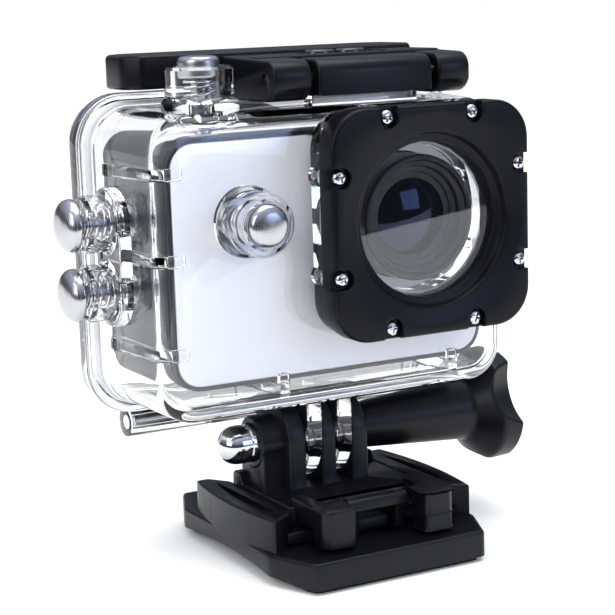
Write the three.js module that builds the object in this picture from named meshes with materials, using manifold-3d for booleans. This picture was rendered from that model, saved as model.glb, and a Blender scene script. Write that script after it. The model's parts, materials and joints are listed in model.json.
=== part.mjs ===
// An action camera in its clear waterproof case, on a quick-release buckle and an adhesive mount.
// Millimetres, +Z up. The lens looks along -Y. While it is drawn, x = 0 and z = 0 lie on the lens
// axis and y = 0 is the front face of the lens bezel. The finished group is moved so that its
// origin is the middle of the footprint, on the surface that it stands on.

import * as THREE from "three";
import { mergeVertices } from "three/addons/utils/BufferGeometryUtils.js";
import Module from "manifold-3d";

const wasm = await Module();
wasm.setup();

// ---------------------------------------------------------------- driving dimensions

const GAP = 0.3; // running clearance beside anything that turns or slides
const SNUG = 0.1; // assembly clearance between fixed pieces

// The camera: 59.3 x 41.1 mm, 29 mm deep with its lens.
const CAMERA = { left: -43.2, right: 16.1, bottom: -25.7, top: 15.4, front: 11.5, back: 34.5, radius: 5 };
const CAMERA_WALL = 1.5;
const CAMERA_PLATE = 1.2;

// The clear case's front shell: a tray open to the back, with a flange round its rim.
const WALL = 2;
const SHELL = { left: -48.3, right: 19.2, bottom: -30, top: 20, front: 8, radius: 6.5 };
const FLANGE = { left: -51.3, right: 22.2, bottom: -31.8, top: 22.2, front: 28, back: 31.2, radius: 8.5 };
const DOOR = { left: -49.3, right: 20.2, bottom: -31, top: 21.2, front: 31.6, back: 37.5, radius: 7.5 };
const DOOR_RIM = 3;

// The lens port: a square bezel clamps a flat round glass on a boss of the shell.
const BEZEL = { half: 19.1, radius: 6.6, depth: 4.5, opening: 14.4, lip: 13, lipFront: 1.9, lipBack: 2.8 };
const BOSS = { half: 18.6, radius: 6.2, front: 4.7, bore: 12.4, seat: 14.4, seatDepth: 1 };
const GLASS = { radius: 14.2, front: 3, thickness: 1.6 };
const SCREW = { near: 8.2, far: 17.3, head: 1.25, shank: 0.9, headFront: 0.35, headBack: 1.5, tip: 7.4 };
const NOTCH = 3.4;

// The tilt axis that the thumb screw runs along, and the two prongs and three ears it clamps.
const TILT = { y: 16.5, z: -37 };
const BOLT = { radius: 2.5, hole: 2.7, left: -31, right: 16.5 };
const PRONGS = [[-19.9, -17.1], [-14.1, -11.3]];
const EARS = [[-23.2, -20.1], [-16.9, -14.3], [-11.1, -8.1]];
const PRONG_RADIUS = 7;
const EAR_RADIUS = 6.6;
const NUT = { radius: 3.3, bore: 2.6, back: -25.7 };
const NUT_BOSS = { radius: 4.4, left: -27.2 }; // the left ear's boss, which the nut is pressed into

// The thumb screw's moulding: a conical neck, then a grip with three lobes and three scallops. The
// shoulder slopes, so that the lobes clear the case's rounded lower corner as the grip turns.
const NECK = { from: -7.8, slim: 3.9, wide: 5.6 };
const GRIP = { from: 14.8, shoulder: 18.7, to: 22.5, lobe: 9.9, edge: 0.6 };
const SCALLOP = { radius: 8.4, away: 14.4, first: 36 }; // centre distance from the axis, first angle

// The door's hinge, low at the back.
const HINGE = { y: 29.6, z: -33.6, radius: 2.5, pin: 1, hole: 1.15 };
const SHELL_KNUCKLES = [[-44.5, -28.9], [-1.1, 14.5]];
const DOOR_KNUCKLE = [-28.6, -1.4];

// The latch on top: a lever on a fixed hinge block, with a sliding lock in its top.
const LATCH = { y: 11, z: 24, pin: 0.9, hole: 1, left: -25, right: 12.5, front: 7.6, nose: 3.7 };
const LATCH_BLOCK = [-16.7, 5];
const LATCH_BAR = { left: -42.4, front: 26, back: 38.5, bottom: 22.6, top: 28.3 };
const LATCH_DECK = { front: 15.5, bottom: 22.6, top: 27.5 };
const LOCK = { left: -12.6, right: 0.4, front: 18, back: 24, bottom: 26.5, top: 28, travel: 3 };

// The adhesive mount and the buckle that slides into it from the front.
const BASE = { x: -15.2, half: 19.6, front: -12.4, back: 37, top: -50, bottom: -54.4, arch: 130 };
const BASE_NOSE = 15.8; // half the width of the front and rear edges
const BASE_CORNER = 8.8; // how far back the corner chamfers reach
const RAIL = { front: -4, back: 25, top: -44.5, inner: 13.6, channel: 15.6, channelTop: -47.5 };
const PAD = { inset: 1.2, thickness: 0.8, gap: 0.02 };
const TONGUE = { half: 15.3, bottom: -49.8, top: -47.8, front: -2, back: 21.5 };
const DECK = { half: 13.2, top: -44.5, front: 1, back: 21.5 };

const seeThrough = { transparent: true, opacity: 0.35 };
const CLEAR = new THREE.MeshStandardMaterial({ color: 0xeef3f6, roughness: 0.06, ...seeThrough });
const GLASSY = new THREE.MeshStandardMaterial({ color: 0xe6edf0, roughness: 0.02, ...seeThrough });
const BLACK = new THREE.MeshStandardMaterial({ color: 0x17181c, roughness: 0.45 });
const DARK_GREY = new THREE.MeshStandardMaterial({ color: 0x34363d, roughness: 0.5 });
const WHITE = new THREE.MeshStandardMaterial({ color: 0xe6e8f0, roughness: 0.35 });
const STEEL = new THREE.MeshStandardMaterial({ color: 0xc9cbce, roughness: 0.25, metalness: 1 });
const SILICONE = new THREE.MeshStandardMaterial({ color: 0xe9e9e6, roughness: 0.6 });
const RUBBER = new THREE.MeshStandardMaterial({ color: 0x101012, roughness: 0.8 });
const FOAM = new THREE.MeshStandardMaterial({ color: 0x1b1b1d, roughness: 0.9 });
const BOARD_GREEN = new THREE.MeshStandardMaterial({ color: 0x1c5a34, roughness: 0.5 });
const LENS_GLASS = new THREE.MeshStandardMaterial({ color: 0x20263a, roughness: 0.02 });
const BATTERY_GREY = new THREE.MeshStandardMaterial({ color: 0x2b3f77, roughness: 0.5 });

// ---------------------------------------------------------------- drawing tools

const ROUND = 24; // sides of a large turned piece
const FINE = 14; // sides of a small one

/** Turns a closed geometry into a solid: vertices merged, slivers dropped, faces pointing out. */
function solid(geometry) {
  const bare = geometry.clone();
  bare.deleteAttribute("normal");
  bare.deleteAttribute("uv");
  const merged = mergeVertices(bare, 1e-4);
  const points = merged.attributes.position.array;
  const faces = [];
  let volume = 0;
  const at = (i) => new THREE.Vector3().fromArray(points, 3 * i);
  for (let i = 0; i < merged.index.count; i += 3) {
    const [a, b, c] = merged.index.array.slice(i, i + 3);
    if (a === b || b === c || c === a) continue;
    faces.push([a, b, c]);
    volume += at(a).dot(at(b).cross(at(c)));
  }
  const turned = volume < 0 ? faces.map(([a, b, c]) => [a, c, b]) : faces;
  return new wasm.Manifold(new wasm.Mesh({
    numProp: 3,
    vertProperties: new Float32Array(points),
    triVerts: new Uint32Array(turned.flat()),
  }));
}

/** A rectangle in the drawing plane with rounded corners. */
function roundRect(left, right, bottom, top, radius) {
  const shape = new THREE.Shape();
  shape.absarc(right - radius, bottom + radius, radius, -Math.PI / 2, 0);
  shape.absarc(right - radius, top - radius, radius, 0, Math.PI / 2);
  shape.absarc(left + radius, top - radius, radius, Math.PI / 2, Math.PI);
  shape.absarc(left + radius, bottom + radius, radius, Math.PI, 1.5 * Math.PI);
  shape.closePath();
  return shape;
}

/** The rounded outline of a casing, drawn in by inset. */
function outline(casing, inset = 0) {
  return roundRect(
    casing.left + inset, casing.right - inset, casing.bottom + inset, casing.top - inset,
    Math.max(casing.radius - inset, 0.5),
  );
}

/** A closed outline through corner points. */
function polygon(...corners) {
  return new THREE.Shape(corners.map(([a, b]) => new THREE.Vector2(a, b)));
}

function extrude(shape, depth, bevel, steps) {
  const geometry = new THREE.ExtrudeGeometry(shape, {
    depth: depth - 2 * bevel,
    bevelEnabled: bevel > 0,
    bevelThickness: bevel,
    bevelSize: bevel,
    bevelOffset: -bevel,
    bevelSegments: 1,
    curveSegments: steps,
  });
  return geometry.translate(0, 0, bevel);
}

/** Extrudes an (x, z) outline from y = a to y = b, with both end edges rounded by bevel. */
function alongY(shape, a, b, bevel = 0, steps = 4) {
  return solid(extrude(shape, b - a, bevel, steps).rotateX(Math.PI / 2).translate(0, b, 0));
}

/** Extrudes an (x, y) outline from z = a to z = b. */
function alongZ(shape, a, b, bevel = 0, steps = 5) {
  return solid(extrude(shape, b - a, bevel, steps).translate(0, 0, a));
}

/** Extrudes a (y, z) outline from x = a to x = b. */
function alongX(shape, a, b, bevel = 0, steps = 5) {
  const cyclic = new THREE.Matrix4().set(0, 0, 1, 0, 1, 0, 0, 0, 0, 1, 0, 0, 0, 0, 0, 1);
  return solid(extrude(shape, b - a, bevel, steps).applyMatrix4(cyclic).translate(a, 0, 0));
}

/** A plain block between two corners. */
function block([x0, x1], [y0, y1], [z0, z1]) {
  const box = new THREE.BoxGeometry(x1 - x0, y1 - y0, z1 - z0);
  return solid(box.translate((x0 + x1) / 2, (y0 + y1) / 2, (z0 + z1) / 2));
}

const TURN_TO = {
  x: (geometry) => geometry.rotateZ(-Math.PI / 2),
  y: (geometry) => geometry,
  z: (geometry) => geometry.rotateX(Math.PI / 2),
};

/** Turns a profile of [radius, height] pairs about an axis through a point. */
function turned(profile, axis, [x, y, z], sides = ROUND) {
  const points = profile.map(([r, h]) => new THREE.Vector2(r, h));
  return solid(TURN_TO[axis](new THREE.LatheGeometry(points, sides)).translate(x, y, z));
}

function rod(radius, from, to, axis, centre, sides = FINE) {
  return turned([[0, from], [radius, from], [radius, to], [0, to]], axis, centre, sides);
}

function ring(inner, outer, from, to, axis, centre, sides = FINE) {
  return turned([[inner, from], [outer, from], [outer, to], [inner, to], [inner, from]], axis, centre, sides);
}

const join = (first, ...rest) => rest.reduce((sum, piece) => sum.add(piece), first);
const cut = (first, ...rest) => rest.reduce((left, piece) => left.subtract(piece), first);

const object = new THREE.Group();

/** Adds a solid to the object as one named part. */
function part(name, material, body) {
  const { vertProperties, triVerts } = body.getMesh();
  const geometry = new THREE.BufferGeometry();
  geometry.setAttribute("position", new THREE.Float32BufferAttribute(vertProperties, 3));
  geometry.setIndex(Array.from(triVerts));
  geometry.computeVertexNormals();
  const mesh = new THREE.Mesh(geometry, material);
  mesh.name = name;
  object.add(mesh);
}

const MIDDLE = [0, 0, 0]; // the lens axis
const TILT_AXIS = [0, TILT.y, TILT.z];
const HINGE_AXIS = [0, HINGE.y, HINGE.z];
const LATCH_AXIS = [0, LATCH.y, LATCH.z];

// ---------------------------------------------------------------- the case's four push buttons

// Each button is drawn along its own outward axis: height 0 is the outside of the shell's wall.
// facing is +1 where outward is the positive direction of the axis, and -1 where it is negative.
// cap lists the turned metal cap's [radius, height] points from its underside edge to its crown.
const BUTTONS = [
  {
    name: "shutter", axis: "z", facing: 1, centre: [-34.5, 15.5, SHELL.top],
    collar: 5.6, height: 6.5, bore: 3.9,
    cap: [[3.4, 4.6], [3.4, 7.4], [2.9, 8.1], [1.2, 8.3]], reach: 4.05, pad: 2.5, padTop: 4.4,
  },
  {
    name: "power", axis: "y", facing: -1, centre: [-30.6, SHELL.front, 1.8],
    collar: 5.2, height: 7, bore: 3.9,
    cap: [[3.5, 6.2], [3.5, 8], [2.9, 8.7], [1.4, 9]], reach: 2.8, pad: 3.8, padTop: 3.1,
  },
  ...[["up", 1.85], ["down", -9.45]].map(([name, z]) => ({
    name, axis: "x", facing: -1, centre: [SHELL.left, 22, z],
    collar: 4.7, height: 5.2, bore: 3.6,
    cap: [[4.4, 6.5], [4.4, 7.2], [3.9, 8.2], [2.7, 8.9], [1.2, 9.2]], reach: 4.5, pad: 2.6, padTop: 4.8,
  })),
];
const STEM = 1.4; // radius of each push rod
const STEM_HOLE = 1.6;
const SEAL = { inner: 1.5, outer: 2.3, pocket: 2.5, depth: 1 };
const CLIP = { inner: 1.45, outer: 2.5, thickness: 0.5 };
const SPRING = { inner: 1.7, outer: 3 };

/** A profile turned about a button's outward axis. */
function onButton(button, profile, sides = FINE) {
  const outward = profile.map(([r, h]) => [r, h * button.facing]);
  return turned(outward, button.axis, button.centre, sides);
}

function buttonRing(button, inner, outer, from, to, sides = FINE) {
  return onButton(button, [[inner, from], [outer, from], [outer, to], [inner, to], [inner, from]], sides);
}

function collar(button) {
  const { collar: radius, height } = button;
  const foot = 0.7;
  return onButton(button, [
    [0, -WALL / 2], [radius + foot, -WALL / 2], [radius + foot, 1.2], [radius, 1.8],
    [radius, height], [0, height],
  ], 20);
}

/** Everything that is bored out of a collar: the spring's well, the rod's hole and the seal's pocket. */
function collarBore(button) {
  const { bore, height } = button;
  return onButton(button, [
    [0, -WALL - 1], [SEAL.pocket, -WALL - 1], [SEAL.pocket, -WALL + SEAL.depth],
    [STEM_HOLE, -WALL + SEAL.depth], [STEM_HOLE, 0.4], [bore, 0.4], [bore, height + 1], [0, height + 1],
  ], 16);
}

function addButton(button) {
  const { name, cap, reach } = button;
  const underside = cap[0][1];
  const crown = cap.at(-1)[1];
  part(`${name}_plunger`, STEEL, onButton(button, [
    [0, -reach], [STEM, -reach], [STEM, underside], ...cap, [0, crown],
  ], 16));
  part(`${name}_spring`, STEEL, buttonRing(button, SPRING.inner, SPRING.outer, 0.5, underside - SNUG));
  const pocket = [-WALL + SNUG, -WALL + SEAL.depth - SNUG];
  part(`${name}_seal`, RUBBER, buttonRing(button, SEAL.inner, SEAL.outer, ...pocket));
  const clip = -WALL - 0.15;
  part(`${name}_clip`, STEEL, buttonRing(button, CLIP.inner, CLIP.outer, clip - CLIP.thickness, clip));
}

/** The camera's own button that a plunger presses. Its top stands a little proud of the camera. */
function cameraButton(button, clearance = 0) {
  const { pad, padTop } = button;
  const rim = pad + clearance;
  const depth = clearance > 0 ? 6 : 1.9;
  const top = clearance > 0 ? padTop - 2 : padTop;
  return onButton(button, [[0, -padTop - depth], [rim, -padTop - depth], [rim, -top], [0, -top]]);
}

// ---------------------------------------------------------------- the clear case

const screwPlaces = [];
for (const side of [-1, 1]) {
  for (const along of [-1, 1]) {
    screwPlaces.push([along * SCREW.near, side * SCREW.far]);
    screwPlaces.push([side * SCREW.far, along * SCREW.near]);
  }
}

function prong([left, right]) {
  const arm = new THREE.Shape();
  arm.absarc(TILT.y, TILT.z, PRONG_RADIUS, Math.PI, 2 * Math.PI);
  arm.lineTo(TILT.y + PRONG_RADIUS, SHELL.bottom + 0.5);
  arm.lineTo(TILT.y - PRONG_RADIUS, SHELL.bottom + 0.5);
  arm.closePath();
  return alongX(arm, left, right, 0, 10);
}

/** Rails inside the tray that hold the camera off its walls. */
function locatingRibs() {
  const half = 1.1; // half a rib's thickness
  const along = [SHELL.front + 1, 27];
  const before = [SHELL.front + 1, CAMERA.front - GAP];
  const ribs = [10, -3.8, -19].map((z) => join(
    block([SHELL.left + 1, CAMERA.left - GAP], along, [z - half, z + half]),
    block([SHELL.left + 1, CAMERA.left + 4], before, [z - half, z + half]),
  ));
  const across = [-24, 9].map((x) => join(
    block([x - half, x + half], along, [SHELL.bottom + 1, CAMERA.bottom - GAP]),
    block([x - half, x + half], before, [SHELL.bottom + 1, CAMERA.bottom + 1.5]),
  ));
  return [...ribs, ...across];
}

function frontShell() {
  const tray = join(
    alongY(outline(SHELL), SHELL.front, FLANGE.front + 2, 1.2, 4),
    alongY(outline(FLANGE), FLANGE.front, FLANGE.back),
    alongY(roundRect(-BOSS.half, BOSS.half, -BOSS.half, BOSS.half, BOSS.radius), BOSS.front, SHELL.front + 1),
    ...screwPlaces.map(([x, z]) => rod(1.9, BOSS.front, SHELL.front + 1, "y", [x, 0, z], 10)),
    block([LATCH_BLOCK[0] + 0.7, LATCH_BLOCK[1] - 0.7], [9, 14.5], [SHELL.top - 1, 20.95]),
    ...BUTTONS.map(collar),
    ...PRONGS.map(prong),
    ...SHELL_KNUCKLES.map(([a, b]) => rod(HINGE.radius, a, b, "x", HINGE_AXIS, 24)),
  );
  const pad = alongX(roundRect(16.2, 27.8, -15.3, 7.7, 5.7), SHELL.left - 1, SHELL.left + 0.5);
  const hollow = cut(alongY(outline(SHELL, WALL), SHELL.front + WALL, FLANGE.back + 1), ...locatingRibs());
  return cut(
    join(tray, pad),
    hollow,
    rod(BOSS.bore, 0, SHELL.front + WALL + 1, "y", MIDDLE, ROUND),
    rod(BOSS.seat, 0, BOSS.front + BOSS.seatDepth, "y", MIDDLE, ROUND),
    ...screwPlaces.map(([x, z]) => rod(SCREW.shank + SNUG, 0, SCREW.tip + GAP, "y", [x, 0, z], 8)),
    ...BUTTONS.map(collarBore),
    rod(BOLT.hole, -25, -5, "x", TILT_AXIS, 24),
    rod(HINGE.hole, -43.5, 20, "x", HINGE_AXIS),
    rod(HINGE.radius + GAP, DOOR_KNUCKLE[0] - GAP, DOOR_KNUCKLE[1] + GAP, "x", HINGE_AXIS, 24),
  );
}

function backDoor() {
  const [left, right] = DOOR_KNUCKLE;
  const rear = DOOR.front + 3;
  const body = join(
    cut(
      alongY(outline(DOOR), DOOR.front - 2, DOOR.back, 1.5, 4),
      block([-70, 40], [0, DOOR.front], [-60, 60]),
    ),
    rod(HINGE.radius, left, right, "x", HINGE_AXIS, 24),
    block([left, right], [DOOR.front - 0.1, rear], [HINGE.z, DOOR.bottom + 1]),
    block([-28, 2], [rear, DOOR.back - 1.5], [DOOR.top - 1, FLANGE.top]),
  );
  return cut(
    body,
    alongY(outline(DOOR, DOOR_RIM), DOOR.front - 1, DOOR.back - WALL),
    cut(
      alongY(outline(DOOR, 0.6), DOOR.front - 1, DOOR.front + 2),
      alongY(outline(DOOR, DOOR_RIM - 0.6), DOOR.front - 2, DOOR.front + 3),
      block([left - 2, right + 2], [0, 60], [HINGE.z - 5, DOOR.bottom]),
    ),
    rod(HINGE.hole, left - 5, right + 5, "x", HINGE_AXIS),
  );
}

function doorGasket() {
  const front = FLANGE.back + 0.15;
  const back = DOOR.front + 1.8;
  return cut(
    alongY(outline(DOOR, 0.8), front, back),
    alongY(outline(DOOR, DOOR_RIM - 0.8), front - 1, back + 1),
  );
}

function lensBezel() {
  const { half, radius, depth, opening, lip, lipFront, lipBack } = BEZEL;
  const seat = GLASS.radius + 0.2;
  const floor = SCREW.headBack + SNUG;
  const reach = 4; // how far past a screw its notch runs, out through the bezel's edge
  const w = NOTCH / 2;
  const notches = screwPlaces.map(([x, z]) => {
    const sideways = Math.abs(x) > Math.abs(z);
    const xEnds = sideways ? [x, x + Math.sign(x) * reach] : [x - w, x + w];
    const zEnds = sideways ? [z - w, z + w] : [z, z + Math.sign(z) * reach];
    const ordered = (ends) => [Math.min(...ends), Math.max(...ends)];
    return join(
      rod(w, -1, floor, "y", [x, 0, z], 12),
      block(ordered(xEnds), [-1, floor], ordered(zEnds)),
      rod(SCREW.shank + SNUG, 0, depth + 1, "y", [x, 0, z], 8),
    );
  });
  return cut(
    alongY(roundRect(-half, half, -half, half, radius), 0, depth, 0.6),
    turned([
      [0, -1], [opening + 0.6, -1], [opening + 0.6, 0], [opening, 0.6], [opening, lipFront],
      [lip, lipFront], [lip, lipBack], [seat, lipBack], [seat, depth + 1], [0, depth + 1],
    ], "y", MIDDLE, 32),
    ...notches,
  );
}

function bezelScrew([x, z]) {
  const { head, shank, headFront, headBack, tip } = SCREW;
  return turned([
    [0, headFront], [head * 0.7, headFront + 0.1], [head, headFront + 0.5],
    [head, headBack], [shank, headBack], [shank, tip], [0, tip],
  ], "y", [x, 0, z], 10);
}

part("front_shell", CLEAR, frontShell());
part("lens_bezel", BLACK, lensBezel());
screwPlaces.forEach((place, i) => part(`bezel_screw_${i + 1}`, STEEL, bezelScrew(place)));
part("port_glass", GLASSY, rod(GLASS.radius, GLASS.front, GLASS.front + GLASS.thickness, "y", MIDDLE, 32));
const gasketEnds = [BOSS.front + SNUG / 2, BOSS.front + BOSS.seatDepth - SNUG];
part("port_gasket", RUBBER, ring(BOSS.bore + 0.4, GLASS.radius, ...gasketEnds, "y", MIDDLE, ROUND));
part("back_door", CLEAR, backDoor());
part("door_gasket", SILICONE, doorGasket());
part("door_hinge_pin", STEEL, rod(HINGE.pin, -43.2, 14.2, "x", HINGE_AXIS));
BUTTONS.forEach(addButton);

// ---------------------------------------------------------------- the latch

/** Side view of one of the lever's arms: a round nose about the pin, then a straight arm. */
function armSide() {
  const { y, z, nose, front } = LATCH;
  const forward = y - front;
  const lower = Math.atan2(Math.sqrt(nose ** 2 - forward ** 2), forward);
  const side = new THREE.Shape();
  side.moveTo(front, z + 0.4);
  side.absarc(y, z, nose, Math.PI + lower, 1.5 * Math.PI);
  side.lineTo(LATCH_BAR.front + 1, z - nose);
  side.lineTo(LATCH_BAR.front + 1, LATCH_BAR.bottom);
  side.lineTo(LATCH_BAR.front + 1, LATCH_DECK.top);
  side.lineTo(front + 3, 27);
  side.absarc(front + 2.6, z + 0.4, 2.6, Math.PI / 2, Math.PI);
  side.closePath();
  return side;
}

/** Side view of the fixed block between the arms, rounded behind so that the lever clears it. */
function blockSide() {
  const { y, z, front } = LATCH;
  const back = 4.2;
  const side = new THREE.Shape();
  side.moveTo(front, 21);
  side.lineTo(y + back, 21);
  side.absarc(y, z, back, 0, Math.asin(3 / back));
  side.absarc(front + 2.6, z + 0.4, 2.6, Math.PI / 2, Math.PI);
  side.closePath();
  return side;
}

function latchLever() {
  const { left, right } = LATCH;
  const deck = LATCH_DECK;
  const bar = polygon(
    [LATCH_BAR.left, LATCH_BAR.front + 3], [LATCH_BAR.left + 2.5, LATCH_BAR.front], [right, LATCH_BAR.front],
    [right, LATCH_BAR.back - 3], [right - 3, LATCH_BAR.back], [LATCH_BAR.left + 3, LATCH_BAR.back],
    [LATCH_BAR.left, LATCH_BAR.back - 3],
  );
  const arms = [[left, LATCH_BLOCK[0] - 1.3], [LATCH_BLOCK[1] + 1.3, right]];
  const lever = join(
    alongZ(bar, LATCH_BAR.bottom, LATCH_BAR.top, 0.7),
    ...arms.map(([a, b]) => alongX(armSide(), a, b, 0.3, 7)),
    block([left + 1, right - 1], [deck.front, LATCH_BAR.front + 1], [deck.bottom, deck.top]),
  );
  const run = [LOCK.left - GAP, LOCK.right + LOCK.travel + GAP];
  return cut(
    lever,
    block(run, [LOCK.front - GAP, LOCK.back + GAP], [LOCK.bottom - GAP, LATCH_BAR.top + 1]),
    rod(LATCH.hole, left - 1, right + 1, "x", LATCH_AXIS),
  );
}

function latchLock() {
  const { left, right, front, back, bottom, top } = LOCK;
  const middle = (front + back) / 2;
  const pads = [left + 3.4, right - 3.4].map((x) => rod(2.3, bottom + 0.5, top, "z", [x, middle, 0]));
  return join(block([left, right], [front, back], [bottom, LATCH_DECK.top - 0.2]), ...pads);
}

part("latch_lever", BLACK, latchLever());
part("latch_lock", BLACK, latchLock());
part("latch_hinge_block", BLACK, cut(alongX(blockSide(), ...LATCH_BLOCK, 0.3, 7),
  rod(LATCH.hole, -30, 20, "x", LATCH_AXIS)));
part("latch_pin", STEEL, rod(LATCH.pin, LATCH.left + 0.5, LATCH.right - 0.5, "x", LATCH_AXIS));

// ---------------------------------------------------------------- the camera

const BATTERY = { left: -36.8, right: -3.8, front: 22.3, back: 31.9, bottom: -23.9, top: 5.6 };
const BARREL = 10.6; // outer radius of the lens barrel
const FRAME_FRONT = CAMERA.front + CAMERA_PLATE + SNUG;
const FRAME_BACK = CAMERA.back - 2;
const SCREEN = { left: -36.8, right: 3.2, bottom: -19.5, top: 9.5, depth: 0.9 };

const batteryBay = (inset) => [
  [BATTERY.left - 1 + inset, BATTERY.right + 1 - inset],
  [BATTERY.front - 0.6 + inset, BATTERY.back + 0.4 - inset],
];

function cameraBody() {
  const ports = [[3, 5.5], [-5, 1.6], [-14, 3.2]]; // middles and half lengths of the far side's sockets
  const [bayX, bayY] = batteryBay(0);
  const grooves = [12.4, 11.2, 10, 8.8].map((z) => (
    block([CAMERA.left - 1, CAMERA.left + 0.4], [15, 30], [z - 0.25, z + 0.25])
  ));
  return cut(
    alongY(outline(CAMERA), FRAME_FRONT, FRAME_BACK),
    alongY(outline(CAMERA, CAMERA_WALL), FRAME_FRONT - 1, FRAME_BACK + 1),
    ...BUTTONS.filter(({ name }) => name !== "power").map((button) => cameraButton(button, 0.25)),
    ...ports.map(([z, half]) => block([CAMERA.right - 3, CAMERA.right + 1], [20, 24], [z - half, z + half])),
    block(bayX, bayY, [CAMERA.bottom - 1, CAMERA.bottom + 3]),
    ...grooves,
  );
}

function cameraFrontPlate() {
  const power = BUTTONS.find(({ name }) => name === "power");
  return cut(
    alongY(outline(CAMERA, 0.6), CAMERA.front, CAMERA.front + CAMERA_PLATE, 0.3),
    rod(BARREL + 0.2, 0, 20, "y", MIDDLE, ROUND),
    cameraButton(power, 0.25),
  );
}

function cameraBackCover() {
  return cut(
    alongY(outline(CAMERA), FRAME_BACK + SNUG, CAMERA.back, 0.5),
    block([SCREEN.left, SCREEN.right], [CAMERA.back - SCREEN.depth, 50], [SCREEN.bottom, SCREEN.top]),
  );
}

/** The barrel: a stepped cone in front, a straight bore, and a thinner body behind. */
function lensBarrel() {
  return turned([
    [7.6, 7.4], [8.6, 7.4], [8.6, 6.2], [9.6, 6.2], [9.6, 5.2], [BARREL, 5.2], [BARREL, 13.8],
    [7.6, 13.8], [7.6, 19.4], [5, 19.4], [5, 9], [6.4, 9], [6.4, 8], [7.6, 8], [7.6, 7.4],
  ], "y", MIDDLE, ROUND);
}

part("camera_body", DARK_GREY, cameraBody());
part("camera_front_plate", WHITE, cameraFrontPlate());
part("camera_back_cover", DARK_GREY, cameraBackCover());
part("camera_screen", GLASSY, block([SCREEN.left + SNUG, SCREEN.right - SNUG],
  [CAMERA.back - SCREEN.depth + SNUG, CAMERA.back], [SCREEN.bottom + SNUG, SCREEN.top - SNUG]));
part("lens_barrel", BLACK, lensBarrel());
part("lens_front_element", LENS_GLASS, turned([
  [0, 7], [2.2, 7.1], [4.2, 7.5], [6.2, 8.3], [6.2, 8.9], [0, 8.9],
], "y", MIDDLE, ROUND));
part("lens_rear_element", LENS_GLASS, rod(4.8, 14, 16.5, "y", MIDDLE, 24));
part("image_sensor", BLACK, block([-4.5, 4.5], [19.6, 20.4], [-3.6, 3.6]));
part("main_board", BOARD_GREEN, block([-39.8, 13.2], [20.6, 21.5], [-22, 11]));
part("memory_card", BLACK, block([3.2, 13.8], [22, 22.9], [-20, -5]));
part("battery", BATTERY_GREY, block([BATTERY.left, BATTERY.right], [BATTERY.front, BATTERY.back],
  [BATTERY.bottom, BATTERY.top]));
part("battery_door", DARK_GREY, block(...batteryBay(0.15), [CAMERA.bottom, CAMERA.bottom + CAMERA_WALL]));
BUTTONS.forEach((button) => part(`camera_${button.name}_button`, STEEL, cameraButton(button)));

// ---------------------------------------------------------------- thumb screw

/** The neck and the grip, whose three lobes stand a third of a turn apart with scallops between. */
function knob() {
  const { from, shoulder, to, lobe, edge } = GRIP;
  const scallops = [0, 120, 240].map((degrees) => {
    const angle = THREE.MathUtils.degToRad(SCALLOP.first + degrees);
    const y = TILT.y + SCALLOP.away * Math.cos(angle);
    const z = TILT.z + SCALLOP.away * Math.sin(angle);
    return rod(SCALLOP.radius, from - 1, to + 1, "x", [0, y, z], 24);
  });
  const grip = turned([
    [0, from], [NECK.wide, from], [lobe, shoulder], [lobe, to - edge], [lobe - edge, to], [0, to],
  ], "x", TILT_AXIS, 36);
  const neck = turned([
    [0, NECK.from], [NECK.slim, NECK.from], [NECK.wide, from + 0.5], [0, from + 0.5],
  ], "x", TILT_AXIS);
  const socket = rod(BOLT.radius + SNUG, NECK.from - 1, BOLT.right + GAP, "x", TILT_AXIS, 24);
  return cut(join(cut(grip, ...scallops), neck), socket);
}

part("thumb_screw_knob", BLACK, knob());
part("thumb_screw_bolt", STEEL, rod(BOLT.radius, BOLT.left, BOLT.right, "x", TILT_AXIS, 24));
part("acorn_nut", STEEL, turned([
  [0, -33.3], [1.6, -32.9], [2.8, -31.9], [NUT.radius, -30.4], [NUT.radius, NUT.back],
  [NUT.bore, NUT.back], [NUT.bore, -31.4], [0, -31.4],
], "x", TILT_AXIS, 24));

// ---------------------------------------------------------------- quick-release buckle

function ear([left, right]) {
  const side = new THREE.Shape();
  side.absarc(TILT.y, TILT.z, EAR_RADIUS, 0, Math.PI);
  side.lineTo(TILT.y - EAR_RADIUS, DECK.top - 0.5);
  side.lineTo(DECK.back, DECK.top - 0.5);
  side.lineTo(DECK.back, TILT.z - 3);
  side.closePath();
  return alongX(side, left, right, 0, 10);
}

/** A springy arm: it leaves the deck's side, runs forward over the mount and ends in a finger pad. */
function clipArm(side) {
  const { x } = BASE;
  const across = ([near, far]) => (side < 0 ? [x - far, x - near] : [x + near, x + far]);
  const pad = alongX(polygon(
    [-9.4, -43], [-5.6, -42.6], [-4.4, -43.4], [-4.4, -46.6], [-6.4, -49.4], [-8.2, -49.4], [-9.4, -47.6],
  ), ...across([6.4, 12.2]), 0.3);
  const arm = alongX(polygon([-6, -43.2], [3, DECK.top], [3, -47.6], [-6, -46.4]), ...across([9.4, 12.2]));
  return join(pad, arm);
}

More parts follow.
